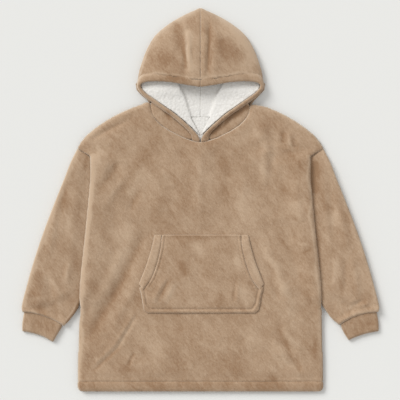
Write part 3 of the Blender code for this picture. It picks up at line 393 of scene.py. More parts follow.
class Cloth:
    """One piece of cloth: a closed mesh with its thickness, and the ways in which it is shaped."""

    def __init__(self, name: str, mesh: bpy.types.Mesh) -> None:
        """Adds a piece.

        Args:
            name: The piece's name.
            mesh: Its first mesh.
        """
        self.name = name
        self.piece = bpy.data.objects.new(name, mesh)
        bpy.context.scene.collection.objects.link(self.piece)

    @classmethod
    def over_node(cls, node: str, voxel: float, smoothing: int) -> "Cloth":
        """Starts a piece as a fine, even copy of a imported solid.

        Args:
            node: The solid's name.
            voxel: The size of the copy's faces.
            smoothing: How many times its corners are relaxed.

        Returns:
            The new piece.
        """
        shell = bmesh.new()
        shell.from_mesh(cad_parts[node].data)
        bmesh.ops.remove_doubles(shell, verts=shell.verts, dist=WELD_DISTANCE)
        mesh = bpy.data.meshes.new(node + "_cloth")
        shell.to_mesh(mesh)
        shell.free()
        cloth = cls(node + "_cloth", mesh)
        fine = cloth.piece.modifiers.new("Fine", "REMESH")
        fine.mode = "VOXEL"
        fine.voxel_size = voxel
        relax = cloth.piece.modifiers.new("Relax", "SMOOTH")
        relax.factor = 0.5
        relax.iterations = smoothing
        cloth.apply_modifiers()
        return cloth

    def apply_modifiers(self) -> None:
        """Makes the piece's modifiers a part of its mesh."""
        graph = bpy.context.evaluated_depsgraph_get()
        mesh = bpy.data.meshes.new_from_object(self.piece.evaluated_get(graph))
        old = self.piece.data
        self.piece.modifiers.clear()
        self.piece.data = mesh
        mesh.name = self.name
        bpy.data.meshes.remove(old)

    @property
    def points(self) -> np.ndarray:
        """Every corner of the mesh."""
        out = np.empty(len(self.piece.data.vertices) * 3)
        self.piece.data.vertices.foreach_get("co", out)
        return out.reshape(-1, 3)

    @points.setter
    def points(self, points: np.ndarray) -> None:
        """Moves every corner of the mesh."""
        self.piece.data.vertices.foreach_set("co", points.ravel())
        self.piece.data.update()

    @property
    def normals(self) -> np.ndarray:
        """The way that the surface faces at each corner."""
        out = np.empty(len(self.piece.data.vertices) * 3)
        self.piece.data.vertex_normals.foreach_get("vector", out)
        return out.reshape(-1, 3)

    def lift_top(self, height: np.ndarray) -> None:
        """Lifts the upper side of the cloth.

        Args:
            height: How far each corner would go up if it faced straight up.
        """
        points = self.points
        points[:, 2] += height * ease((self.normals[:, 2] - 0.1) / 0.5)
        self.points = points

    def crease(self, creases: tuple[Mark, ...]) -> None:
        """Lays creases in the upper side."""
        x, y = self.points[:, 0] / MM, self.points[:, 1] / MM
        self.lift_top(marks_at(creases, x, y) * MM)

    def brush(self, strokes: tuple[Mark, ...]) -> None:
        """Brushes the nap lighter and darker, and paints shade and highlights, as an attribute that the
        finish reads.

        Args:
            strokes: Where it is brushed, and where shade and highlights are painted.
        """
        points = self.points
        x, y = points[:, 0] / MM, points[:, 1] / MM
        wander = WANDER.at(points)
        facing_up = ease((self.normals[:, 2] + 0.2) / 0.5)
        nap = marks_at(strokes, x + wander, y + np.roll(wander, 1)) * facing_up
        # Holds the nap's lay together with painted shade and painted highlights
        layer = self.piece.data.attributes.new("nap", "FLOAT", "POINT")
        layer.data.foreach_set("value", nap.astype(np.float32))

    def nudge(self, pulls: tuple[Nudge, ...] = NUDGES) -> None:
        """Pulls the piece about in plan.

        Args:
            pulls: Where, and which way.
        """
        points = self.points
        x, y = points[:, 0] / MM, points[:, 1] / MM
        for pull in pulls:
            near = np.exp(-((x - pull.x) ** 2 + (y - pull.y) ** 2) / pull.radius**2) * MM
            points[:, 0] += pull.by_x * near
            points[:, 1] += pull.by_y * near
        self.points = points

    def widen(self, amount: float) -> None:
        """Moves the piece's rims outwards in plan, so that it meets its neighbours in a shallow seam.

        Args:
            amount: How far.
        """
        points, normals = self.points, self.normals
        upright = ease(1.2 - np.abs(normals[:, 2]) / 0.8)
        points[:, :2] += normals[:, :2] * (amount * upright)[:, None]
        self.points = points

    def swell(self, height: np.ndarray) -> None:
        """Moves each corner out along its normal."""
        self.points = self.points + self.normals * height[:, None]

    def room(self, neighbours: tuple[str, ...], reach: float) -> np.ndarray:
        """Says how much free space lies over the surface.

        Args:
            neighbours: The solids that may lie against the piece.
            reach: The most space that matters.

        Returns:
            The space over each corner, up to reach.
        """
        points, normals = self.points, self.normals
        free = np.full(len(points), reach)
        for node in neighbours:
            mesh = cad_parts[node].data
            corners = [vertex.co for vertex in mesh.vertices]
            tree = BVHTree.FromPolygons(corners, [polygon.vertices for polygon in mesh.polygons])
            for index, (point, normal) in enumerate(zip(points, normals)):
                start = Vector(point - normal * 0.001)
                hit = tree.ray_cast(start, Vector(normal), reach + 0.001)
                if hit[3] is not None:
                    free[index] = min(free[index], max(hit[3] - 0.001, 0))
        return free

    def dress(self, material: bpy.types.Material) -> None:
        """Gives the piece its finish.

        Args:
            material: The finish.
        """
        self.piece.data.materials.clear()
        self.piece.data.materials.append(material)
        self.piece.data.shade_smooth()

    def declare(
        self, node: str, slot: Slot, flat: tuple[float, float], area: float | None = None
    ) -> None:
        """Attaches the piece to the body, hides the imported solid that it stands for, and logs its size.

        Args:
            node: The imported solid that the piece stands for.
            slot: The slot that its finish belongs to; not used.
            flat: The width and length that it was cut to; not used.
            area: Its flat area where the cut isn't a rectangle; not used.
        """
        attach(self.piece, BODY)
        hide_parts(node)
        LOG.info("%s: %d corners", self.name, len(self.piece.data.vertices))


class Graph:
    """A short way to build a node tree."""

    def __init__(self, tree: bpy.types.NodeTree) -> None:
        """Keeps the tree."""
        self.tree = tree

    def add(self, kind: str, inputs: dict | None = None, **settings) -> bpy.types.Node:
        """Adds a node.

        Args:
            kind: The node's type.
            inputs: Values or sockets for its inputs, by name or index.
            settings: Values for its own settings.

        Returns:
            The new node.
        """
        node = self.tree.nodes.new(kind)
        for key, value in settings.items():
            setattr(node, key, value)
        for key, value in (inputs or {}).items():
            if isinstance(value, bpy.types.NodeSocket):
                self.tree.links.new(value, node.inputs[key])
            else:
                node.inputs[key].default_value = value
        return node

    def math(self, operation: str, *values) -> bpy.types.NodeSocket:
        """Adds a Math node and returns its result."""
        return self.add("ShaderNodeMath", dict(enumerate(values)), operation=operation).outputs[0]

    def weigh(self, terms: list[tuple[bpy.types.NodeSocket, float]], middle: float) -> bpy.types.NodeSocket:
        """Adds up noises that each vary about a half.

        Args:
            terms: Each noise with its weight.
            middle: What the sum is where every noise is a half.

        Returns:
            The sum.
        """
        total = None
        for value, weight in terms:
            centred = self.math("MULTIPLY", self.math("SUBTRACT", value, 0.5), weight)
            total = self.math("ADD", centred, middle if total is None else total)
        return total


def brushed_nap_group() -> bpy.types.NodeTree:
    """Builds a brushed nap, patches and strokes where the pile lies unevenly, with painted shade and
    highlights.

    Returns:
        The node group, with Color and Height outputs.
    """
    tree = bpy.data.node_groups.new("Brushed nap", "ShaderNodeTree")
    for name, kind, value in (
        ("Vector", "NodeSocketVector", None),
        ("Light", "NodeSocketColor", (0.5, 0.5, 0.5, 1)),
        ("Dark", "NodeSocketColor", (0.2, 0.2, 0.2, 1)),
        ("Patch Scale", "NodeSocketFloat", 14.0),
        ("Stroke Scale", "NodeSocketFloat", 34.0),
        ("Stroke Angle", "NodeSocketVector", (0, 0, -0.7)),
        ("Fibre Scale", "NodeSocketFloat", 420.0),
        ("Patch Contrast", "NodeSocketFloat", 1.2),
        ("Lay and painted light", "NodeSocketFloat", 0.0),
    ):
        socket = tree.interface.new_socket(name, in_out="INPUT", socket_type=kind)
        if value is not None:
            socket.default_value = value
    for name, kind in (("Color", "NodeSocketColor"), ("Height", "NodeSocketFloat")):
        tree.interface.new_socket(name, in_out="OUTPUT", socket_type=kind)
    g = Graph(tree)
    given = g.add("NodeGroupInput").outputs
    turned = g.add(
        "ShaderNodeMapping",
        {"Vector": given["Vector"], "Rotation": given["Stroke Angle"]},
    ).outputs[0]
    stroke_space = g.add("ShaderNodeMapping", {"Vector": turned, "Scale": (1, 0.3, 1)}).outputs[0]
    fibre_space = g.add("ShaderNodeMapping", {"Vector": turned, "Scale": (1, 0.34, 1)}).outputs[0]
    patches = g.add(
        "ShaderNodeTexNoise",
        {"Vector": given["Vector"], "Scale": given["Patch Scale"], "Detail": 3.0, "Distortion": 0.6},
    ).outputs[0]
    strokes = g.add(
        "ShaderNodeTexNoise",
        {"Vector": stroke_space, "Scale": given["Stroke Scale"], "Detail": 3.0, "Distortion": 0.7},
    ).outputs[0]
    swept = g.add(
        "ShaderNodeMapRange",
        {"Value": strokes, "From Min": 0.36, "From Max": 0.64},
        interpolation_type="SMOOTHSTEP",
    ).outputs[0]
    fibres = g.add(
        "ShaderNodeTexNoise",
        {"Vector": fibre_space, "Scale": given["Fibre Scale"], "Detail": 2.0},
    ).outputs[0]
    clumps = g.add("ShaderNodeTexNoise", {"Vector": fibre_space, "Scale": 190.0, "Detail": 2.0}).outputs[0]
    patch_term = g.math("MULTIPLY", g.math("SUBTRACT", patches, 0.5), given["Patch Contrast"])
    mix = g.weigh([(swept, 0.26), (fibres, 0.95), (clumps, 0.6)], 0.5)
    # Adds the cloth's attribute: the nap's lay with painted shade and painted highlights
    mix = g.math("ADD", g.math("ADD", mix, patch_term), given["Lay and painted light"])
    mix = g.math("MINIMUM", g.math("MAXIMUM", mix, 0.0), 1.0)
    tones = {0: mix, 6: given["Dark"], 7: given["Light"]}
    colour = g.add("ShaderNodeMix", tones, data_type="RGBA").outputs[2]
    height = g.weigh([(fibres, 0.6), (clumps, 0.7), (strokes, 0.5)], 0.5)
    g.add("NodeGroupOutput", {"Color": colour, "Height": height})
    return tree


@dataclass(frozen=True)
class PlushFinish:
    """A short plush fleece, brushed a little unevenly, with a painted sheen on slopes that face the light."""

    name: str
    light: tuple[float, float, float, float] = (0.505, 0.37, 0.256, 1)
    dark: tuple[float, float, float, float] = (0.300, 0.183, 0.106, 1)
    patch_scale: float = 13.0
    patch_contrast: float = 0.72
    # The painted sheen's colour, and which way the slopes that it lightens most face
    pale: tuple[float, float, float, float] = (0.66, 0.56, 0.45, 1)
    painted_sheen_towards: tuple[float, float, float] = (-0.7, 0.7, 0.0)
    stroke_angle: float = -0.65
    bump_distance: float = 0.0022

    def build(self, group: bpy.types.NodeTree) -> bpy.types.Material:
        """Makes the material.

        Args:
            group: The brushed nap group.

        Returns:
            The finished material.
        """
        material = bpy.data.materials.new(self.name)
        material.use_nodes = True
        g = Graph(material.node_tree)
        shader = material.node_tree.nodes["Principled BSDF"]
        place = g.add("ShaderNodeTexCoord").outputs["Object"]
        nap = g.add("ShaderNodeGroup", node_tree=group)
        material.node_tree.links.new(place, nap.inputs["Vector"])
        nap.inputs["Light"].default_value = self.light
        nap.inputs["Dark"].default_value = self.dark
        nap.inputs["Patch Scale"].default_value = self.patch_scale
        nap.inputs["Patch Contrast"].default_value = self.patch_contrast
        nap.inputs["Stroke Angle"].default_value = (0, 0, self.stroke_angle)
        # The cloth's attribute: the nap's lay with painted shade and painted highlights
        brushed = g.add("ShaderNodeAttribute", attribute_name="nap").outputs["Fac"]
        material.node_tree.links.new(brushed, nap.inputs["Lay and painted light"])
        # Painted sheen: the colour turns pale on slopes, most on those that face the light from the upper
        # left
        slope = g.add("ShaderNodeLayerWeight", {"Blend": 0.5}).outputs["Facing"]
        edge = g.add(
            "ShaderNodeMapRange",
            {"Value": slope, "From Min": 0.12, "From Max": 0.75, "To Max": 0.85},
        )
        normal = g.add("ShaderNodeNewGeometry").outputs["Normal"]
        to_window = g.add(
            "ShaderNodeVectorMath",
            {0: normal, 1: self.painted_sheen_towards},
            operation="DOT_PRODUCT",
        ).outputs["Value"]
        lit = g.add(
            "ShaderNodeMapRange",
            {"Value": to_window, "From Min": -0.5, "From Max": 0.4, "To Min": 0.12},
        )
        colour = g.add(
            "ShaderNodeMix",
            {0: g.math("MULTIPLY", edge.outputs[0], lit.outputs[0]), 6: nap.outputs["Color"], 7: self.pale},
            data_type="RGBA",
        ).outputs[2]
        bump = g.add("ShaderNodeBump", {"Height": nap.outputs["Height"], "Distance": self.bump_distance})
        bump.inputs["Strength"].default_value = 0.75
        material.node_tree.links.new(colour, shader.inputs["Base Color"])
        material.node_tree.links.new(bump.outputs[0], shader.inputs["Normal"])
        shader.inputs["Roughness"].default_value = 0.92
        shader.inputs["Specular IOR Level"].default_value = 0.15
        shader.inputs["Sheen Weight"].default_value = 0.45
        shader.inputs["Sheen Roughness"].default_value = 0.45
        shader.inputs["Sheen Tint"].default_value = (1.0, 0.9, 0.78, 1)
        return material


@dataclass(frozen=True)
class CurlyFinish:
    """An off-white curly pile, with painted shade in the gaps between its tufts."""

    name: str
    light: tuple[float, float, float, float] = (0.81, 0.80, 0.775, 1)
    dark: tuple[float, float, float, float] = (0.71, 0.695, 0.66, 1)

    def build(self) -> bpy.types.Material:
        """Makes the material.

        Returns:
            The finished material.
        """
        material = bpy.data.materials.new(self.name)
        material.use_nodes = True
        g = Graph(material.node_tree)
        shader = material.node_tree.nodes["Principled BSDF"]
        place = g.add("ShaderNodeTexCoord").outputs["Object"]
        tufts = g.add("ShaderNodeTexVoronoi", {"Vector": place, "Scale": 150.0}).outputs["Distance"]
        wool = g.add("ShaderNodeTexNoise", {"Vector": place, "Scale": 520.0, "Detail": 3.0}).outputs[0]
        # Darker in the gaps between tufts: painted shade, over the wool's own uneven tone
        gap_shade = g.math("MULTIPLY", tufts, 0.9)
        fluff = g.math("MULTIPLY", g.math("SUBTRACT", wool, 0.5), 0.8)
        mix = g.math("ADD", g.math("SUBTRACT", 1.15, gap_shade), fluff)
        mix = g.math("MINIMUM", g.math("MAXIMUM", mix, 0.0), 1.0)
        tones = {0: mix, 6: self.dark, 7: self.light}
        colour = g.add("ShaderNodeMix", tones, data_type="RGBA").outputs[2]
        height = g.math("ADD", g.math("MULTIPLY", wool, 0.6), g.math("SUBTRACT", 1.0, tufts))
        bump = g.add("ShaderNodeBump", {"Height": height, "Distance": 0.0016, "Strength": 0.5})
        material.node_tree.links.new(colour, shader.inputs["Base Color"])
        material.node_tree.links.new(bump.outputs[0], shader.inputs["Normal"])
        shader.inputs["Roughness"].default_value = 0.95
        shader.inputs["Specular IOR Level"].default_value = 0.1
        shader.inputs["Sheen Weight"].default_value = 0.25
        return material


@dataclass
class Wardrobe:
    """The garment's finishes."""

    plush: bpy.types.Material
    cuff: bpy.types.Material
    curly: bpy.types.Material

    @classmethod
    def build(cls) -> "Wardrobe":
        """Makes every finish.

        Returns:
            The finishes.
        """
        nap = brushed_nap_group()
        return cls(
            plush=PlushFinish("Plush").build(nap),
            cuff=PlushFinish(
                "Plush cuff", patch_scale=22.0, patch_contrast=0.9, stroke_angle=-0.35
            ).build(nap),
            curly=CurlyFinish("Curly pile").build(),
        )


BODY_SIDE = (
    (328, 131), (326.5, 95), (327, 55), (334, -22), (343, -115), (352, -196), (358.5, -275), (362, -391),
    (364.5, -481), (365, -546),
)
BODY_SIDE_CURVE = through(BODY_SIDE, 8)


def body_side_x(y: np.ndarray) -> np.ndarray:
    """The body's side at places along the garment, in millimetres."""
    curve = BODY_SIDE_CURVE[::-1]
    return np.interp(y, curve[:, 1], curve[:, 0])


@dataclass
class Body:
    """The front, the back and the two sides of the hem."""

    voxel: float = 0.0036
    back_voxel: float = 0.006
    hem_voxel: float = 0.0026
    rim: float = 0.0034
    front_cut: tuple[float, float] = (0.736, 0.855)
    front_area: float = 0.545
    back_area: float = 0.525
    hem_cut: tuple[float, float] = (0.73, 0.030)
    waves: Ripple = Ripple(0.07, 3, 0.0014)
    dimples: Ripple = Ripple(0.022, 5, 0.0006)
    hem_waves: Ripple = Ripple(0.016, 9, 0.0009, (1, 0.25, 0.25))
    creases: tuple[Mark, ...] = (
        Mark(((-166, -100), (-235, -249), (-298, -352), (-328, -412)), 15, -4.5),
        Mark(((-205, -100), (-268, -240), (-334, -350)), 16, 2.6),
        Mark(((-135, -130), (-200, -270), (-268, -382)), 14, 2.4),
        Mark(((-190, -345), (-246, -442), (-318, -511)), 4.5, -2.8),
        Mark(((-196, -336), (-256, -432), (-324, -498)), 5, 1.8),
        Mark(((-197, -456), (-215, -496)), 4.5, -2.6),
        Mark(((180, -118), (243, -249), (270, -330)), 15, 3.4),
        Mark(((206, -205), (232, -300)), 11, -2.4),
        Mark(((222, -390), (270, -458), (302, -512)), 11, -4.0),
        Mark(((214, -420), (262, -492), (300, -530)), 4.5, 2.2),
        Mark(((245, -385), (304, -452)), 11, 2.4),
        Mark(((193, 175), (192, 40)), 14, 2.6),
        Mark(((222, 200), (214, 60)), 13, -2.2),
        Mark(((248, 205), (246, 165)), 8, -2.2),
        Mark(((265, 200), (268, 155)), 7, 2.0),
        Mark(((281, 190), (284, 150)), 6, -1.8),
        Mark(((285, -2), (306, -66)), 13, 2.0),
        Mark(((0, 150), (-6, 60), (0, -70)), 16, 1.6),
        Mark(((-326, 179), (-262, 214), (-219, 234)), 7, -3.4),
        Mark(((326, 183), (262, 218), (205, 246)), 7, -1.4),
        Mark(((-242, 112), (-302, 22)), 13, -3.0),
        Mark(((-222, 78), (-288, -20)), 12, 2.4),
        Mark(((-184, 28), (-212, -40)), 11, -2.4),
        Mark(((-360, -539.5), (360, -539.5)), 4, 1.3, False),
    )

    def build(self, finishes: Wardrobe) -> None:
        """Makes and dresses the body's pieces.

        Args:
            finishes: The garment's finishes.
        """
        front = Cloth.over_node("front_panel", self.voxel, 10)
        front.widen(self.rim)
        front.crease(self.creases)
        front.lift_top(self.waves.at(front.points) + self.dimples.at(front.points))
        front.brush(FRONT_NAP_AND_PAINTED_LIGHT)
        front.nudge((*NUDGES, NECK_POINT_PULL))
        front.dress(finishes.plush)
        front.declare("front_panel", Slot.PLUSH, self.front_cut, self.front_area)
        back = Cloth.over_node("back_panel", self.back_voxel, 4)
        back.dress(finishes.plush)
        back.declare("back_panel", Slot.PLUSH, self.front_cut, self.back_area)
        for node in ("hem_front", "hem_back"):
            hem = Cloth.over_node(node, self.hem_voxel, 4)
            if node == "hem_front":
                hem.widen(self.rim)
                hem.lift_top(self.hem_waves.at(hem.points))
            hem.brush(HEM_DARKENING)
            hem.dress(finishes.plush)
            hem.declare(node, Slot.PLUSH, self.hem_cut)


@dataclass
class Sleeve:
    """One sleeve and its cuff, each a flattened tube."""

    side: Side
    height: float = 14.5
    wall: float = 0.0052
    puff: float = 5.5
    around: int = 96
    cuff_around: int = 80
    body_clearance: float = 4.0
    body_reach: float = 42.0
    cuff_reach: float = 34.0
    armhole_y: float = 150.0
    armhole_reach: float = 60.0
    armhole_drops: tuple[float, ...] = (2.5, 1.8, 1.0, 0.4)
    gather_rise: float = 3.0
    gather_drop: float = 6.0
    cuff_height: float = 14.0
    cuff_seam_drop: float = 3.5
    cuff_end_drop: float = 4.5
    cut: tuple[float, float] = (0.39, 0.56)
    area: float = 0.165
    cuff_cut: tuple[float, float] = (0.235, 0.062)
    waves: Ripple = Ripple(0.05, 8, 0.0012)
    cuff_waves: Ripple = Ripple(0.013, 2, 0.0009, (1, 0.35, 0.35))
    sections: tuple[tuple[float, ...], ...] = (
        (367.8, 153.0, 291.5, 108.8, 0), (388, 113, 292, 62, 0), (407, 64, 293, 14, 0),
        (428, 12, 297, -42, 0), (450, -44, 305, -101, 0), (471.5, -102, 316, -154, 0),
        (491.5, -161, 329.5, -206, 0),
        (509, -218, 341, -250, 0), (522.5, -268, 350, -286, 3), (531, -300, 366, -319, 6),
        (535.0, -322, 391, -354, 8), (532.4, -336.6, 415.5, -375.4, 9),
    )
    cuff_sections: tuple[tuple[float, ...], ...] = (
        (526.8, -333.3, 419.1, -371.3, 9), (530, -348, 422, -384, 8), (533.5, -372, 431, -402, 5),
        (533.5, -394, 443.5, -421, 4),
    )
    hollows: tuple[Mark, ...] = (Mark(((338, 118), (338, 50), (338, 0)), 12, -4.0),)
    lips: dict[Side, tuple[Mark, ...]] = field(
        default_factory=lambda: {
            Side.LEFT: (
                Mark(((-530, -328), (-494, -334), (-461, -346), (-408, -368)), 6, 2.6, False),
            ),
            Side.RIGHT: (
                Mark(((530, -324), (489, -330), (463, -337), (432, -355), (414, -368)), 6, 2.6, False),
            ),
        }
    )
    creases: dict[Side, tuple[Mark, ...]] = field(
        default_factory=lambda: {
            Side.LEFT: (
                Mark(((-420, 0), (-455, -170)), 13, 3.5),
                Mark(((-400, 60), (-430, -90)), 11, -2.5),
                Mark(((-498, -210), (-470, -300)), 14, 3.5),
                Mark(((-455, -230), (-440, -300)), 10, -3.0),
                Mark(((-520, -268), (-440, -330)), 10, 3.0),
                Mark(((-394, -188), (-398, -246)), 9, 2.5),
                Mark(((-453, -217), (-412, -290)), 9, 2.5),
                Mark(((-358, -272), (-372, -311), (-394, -344), (-418, -366)), 3.5, 2.2),
            ),
            Side.RIGHT: (
                Mark(((405, 20), (440, -150)), 13, 3.5),
                Mark(((384, 50), (398, -120)), 11, -2.5),
                Mark(((452, -170), (470, -290)), 12, 3.5),
                Mark(((432, -180), (434, -270)), 9, -2.5),
                Mark(((454, -324), (468, -312), (484, -300)), 5, -4.5),
                Mark(((462, -338), (480, -322), (505, -306)), 7, 3.0),
                Mark(((438, -328), (446, -310), (462, -296)), 6, 2.5),
                Mark(((392, -165), (392, -250)), 3.5, -1.6),
                Mark(((358, -272), (372, -311), (394, -344), (418, -366)), 3.5, 1.2),
            ),
        }
    )

    def tube(self, name: str, sections: np.ndarray, heights: np.ndarray, around: int) -> Cloth:
        """Makes a flattened tube from a sheet that is rolled round and joined.

        Args:
            name: The piece's name.
            sections: Rows of outer x and y, inner x and y, and bow, in millimetres.
            heights: The tube's height at each row, in millimetres.
            around: How many faces go round the tube.

        Returns:
            The tube, with its wall's thickness.
        """
        rows = len(sections)
        shell = bmesh.new()
        bmesh.ops.create_grid(shell, x_segments=around, y_segments=rows - 1, size=1)
        flat = np.array([vertex.co[:] for vertex in shell.verts])
        turn = (flat[:, 0] + 1) / 2
        row = np.round((flat[:, 1] + 1) / 2 * (rows - 1)).astype(int)
        start, end = sections[row, :2], sections[row, 2:4]
        width = np.linalg.norm(end - start, axis=1)
        run = (end - start) / width[:, None]
        tall = heights[row]
        path = width - tall + math.pi * tall / 2
        walk = turn * 2 * path
        upper = walk < path
        walk = np.where(upper, walk, walk - path)
        quarter = math.pi * tall / 4
        lead = np.clip(walk / quarter, 0, 1) * math.pi / 2
        trail = np.clip((path - walk) / quarter, 0, 1) * math.pi / 2
        level = walk - quarter
        across = tall / 2 * (1 - np.cos(lead)) + np.clip(level, 0, width - tall)
        across += tall / 2 * np.cos(trail)
        rise = tall / 2 * np.minimum(np.sin(lead), np.sin(trail))
        across = np.where(upper, across, width - across)
        z = tall / 2 + np.where(upper, rise, -rise)
        share = across / width
        bow = np.stack([run[:, 1], -run[:, 0]], 1) * (4 * sections[row, 4] * share * (1 - share))[:, None]
        plan = start + run * across[:, None] + bow
        sign = self.side.value
        for vertex, x, y, level in zip(shell.verts, plan[:, 0] * sign, plan[:, 1], z):
            vertex.co = (x * MM, y * MM, level * MM)
        bmesh.ops.remove_doubles(shell, verts=shell.verts, dist=WELD_DISTANCE)
        bmesh.ops.recalc_face_normals(shell, faces=shell.faces)
        lowest = min(shell.faces, key=lambda face: face.calc_center_median().z)
        if lowest.normal.z > 0:
            bmesh.ops.reverse_faces(shell, faces=shell.faces)
        mesh = bpy.data.meshes.new(name)
        shell.to_mesh(mesh)
        shell.free()
        return Cloth(name, mesh)

    def thicken(self, tube: Cloth) -> None:
        """Gives a tube its wall, inwards."""
        wall = tube.piece.modifiers.new("Wall", "SOLIDIFY")
        wall.thickness = self.wall
        wall.offset = -1
        wall.use_even_offset = False
        tube.apply_modifiers()

    def build(self, finishes: Wardrobe) -> None:
        """Makes and dresses the sleeve and its cuff.

        Args:
            finishes: The garment's finishes.
        """
        sections = through(self.sections, 9)
        heights = np.full(len(sections), self.height)
        share = np.arange(len(sections)) / (len(sections) - 1)
        heights += self.gather_rise * ease((share - 0.91) / 0.06)
        heights -= self.gather_drop * ease((share - 0.975) / 0.025) ** 2
        heights[:len(self.armhole_drops)] -= self.armhole_drops
        sleeve = self.tube(f"sleeve_{self.side.label}_cloth", sections, heights, self.around)
        points = sleeve.points
        x, y = np.abs(points[:, 0]) / MM, points[:, 1] / MM
        clear = ease((x - body_side_x(y) - self.body_clearance) / self.body_reach)
        from_cuff = ease((y + 335 + 0.37 * (x - 475)) / self.cuff_reach)
        to_armhole = ease((self.armhole_y - y) / self.armhole_reach)
        loft = marks_at(self.creases[self.side], points[:, 0] / MM, y) * MM
        loft = (self.puff * MM + loft) * clear * from_cuff * to_armhole
        gathers = Ripple(0.011, 4 + self.side.value, 0.0016, (1, 0.3, 0.3)).at(points)
        near_cuff = ease((-280 - y) / 40) * clear
        fine = self.waves.at(points) * clear
        sleeve.lift_top(loft + gathers * near_cuff * (1 - 0.6 * from_cuff) + fine)
        sleeve.lift_top(marks_at(self.lips[self.side] + self.hollows, points[:, 0] / MM, y) * MM)
        self.thicken(sleeve)
        sleeve.brush(SLEEVE_NAP_AND_PAINTED_LIGHT)
        sleeve.nudge()
        sleeve.dress(finishes.plush)
        sleeve.declare(f"sleeve_{self.side.label}", Slot.PLUSH, self.cut, self.area)
        cuff_rows = through(self.cuff_sections, 8)
        share = np.arange(len(cuff_rows)) / (len(cuff_rows) - 1)
        heights = self.cuff_height - self.cuff_seam_drop * ease(1 - share / 0.1)
        heights -= self.cuff_end_drop * ease((share - 0.88) / 0.12) ** 2
        cuff = self.tube(f"cuff_{self.side.label}_cloth", cuff_rows, heights, self.cuff_around)
        cuff.lift_top(self.cuff_waves.at(cuff.points))
        self.thicken(cuff)
        cuff.brush(CUFF_DARKENING)
        cuff.nudge()
        cuff.dress(finishes.cuff)
        cuff.declare(f"cuff_{self.side.label}", Slot.PLUSH, self.cuff_cut)


@dataclass
class Pocket:
    """The kangaroo pocket and the facings along its mouths."""

    voxel: float = 0.0021
    facing_voxel: float = 0.0017
    rim: float = 0.0019
    top_rise: float = 2.6
    cut: tuple[float, float] = (0.362, 0.231)
    area: float = 0.072
    facing_cut: tuple[float, float] = (0.030, 0.160)
    facing_area: float = 0.0036
    waves: Ripple = Ripple(0.03, 6, 0.0006)
    bottom_lumps: Ripple = Ripple(0.009, 14, 0.0009)
    corner_pulls: tuple[Nudge, ...] = (
        Nudge(-178.5, -268, 9, -5, 11), Nudge(184.5, -268, 9, 5, 11),
    )
    facing_pulls: tuple[Nudge, ...] = (Nudge(-162, -264, 13, -8, -9), Nudge(168, -264, 13, 8, -9))
    facing_ends: tuple[Mark, ...] = (
        Mark(((-162, -250), (-174, -264)), 10, 1.1, False),
        Mark(((168, -250), (180, -264)), 10, 1.1, False),
    )
    creases: tuple[Mark, ...] = (
        Mark(((-92, -236), (-128, -306)), 5, -2.0),
        Mark(((-78, -248), (-110, -314)), 7, 1.8),
        Mark(((-108, -236), (-140, -300)), 7, 1.8),
        Mark(((104, -246), (99, -306)), 5, -1.3),
        Mark(((113, -250), (108, -306)), 6, 1.4),
        Mark(((-130, -109), (136, -109)), 3.5, 1.8, False),
        Mark(
            ((-167, -268), (-159, -311), (-148, -327), (154, -327), (165, -311), (173, -268)),
            3.2, -3.0, False,
        ),
        Mark(
            ((-173, -268), (-165, -313), (-151, -333.5), (157, -333.5), (171, -313), (179, -268)),
            4.5, 1.8, False,
        ),
        Mark(FACING_SEAM, 2.2, -1.5, False),
        Mark(mirrored(FACING_SEAM, POCKET_MIDDLE), 2.2, -1.5, False),
        Mark(FACING_STITCH, 3.2, 1.4, False),
        Mark(mirrored(FACING_STITCH, POCKET_MIDDLE), 3.2, 1.4, False),
    )

    def build(self, finishes: Wardrobe) -> None:
        """Makes and dresses the pocket and its facings.

        Args:
            finishes: The garment's finishes.
        """
        pocket = Cloth.over_node("pocket", self.voxel, 4)
        pocket.widen(self.rim)
        pocket.crease(self.creases)
        points = pocket.points
        at_bottom = ease((0.016 - np.abs(points[:, 1] + 0.336)) / 0.008)
        pocket.lift_top(self.waves.at(points) + self.bottom_lumps.at(points) * at_bottom)
        pocket.brush(POCKET_NAP_AND_PAINTED_LIGHT)
        self.seat(pocket, self.corner_pulls)
        pocket.dress(finishes.plush)
        pocket.declare("pocket", Slot.PLUSH, self.cut, self.area)
        for side in Side:
            node = f"pocket_facing_{side.label}"
            facing = Cloth.over_node(node, self.facing_voxel, 3)
            facing.widen(self.rim)
            facing.crease(self.facing_ends)
            facing.brush(FACING_NAP)
            self.seat(facing, self.facing_pulls)
            facing.dress(finishes.plush)
            facing.declare(node, Slot.PLUSH, self.facing_cut, self.facing_area)

    def seat(self, cloth: Cloth, pulls: tuple[Nudge, ...]) -> None:
        """Draws the pocket's top edge up a little, and its pieces together at the mouths' lower corners.

        Args:
            cloth: The pocket or a facing.
            pulls: The pulls at the corners.
        """
        points = cloth.points
        points[:, 1] += self.top_rise * MM * ease((points[:, 1] / MM + 122) / 12)
        cloth.points = points
        cloth.nudge(pulls)


HOOD_HALF_WIDTHS = (
    (571.5, 0.01), (563, 19.5), (545, 57), (521, 96), (490, 132), (455, 154.5), (420, 169), (390, 179),
    (364, 187), (348, 191.5), (331, 190),
)


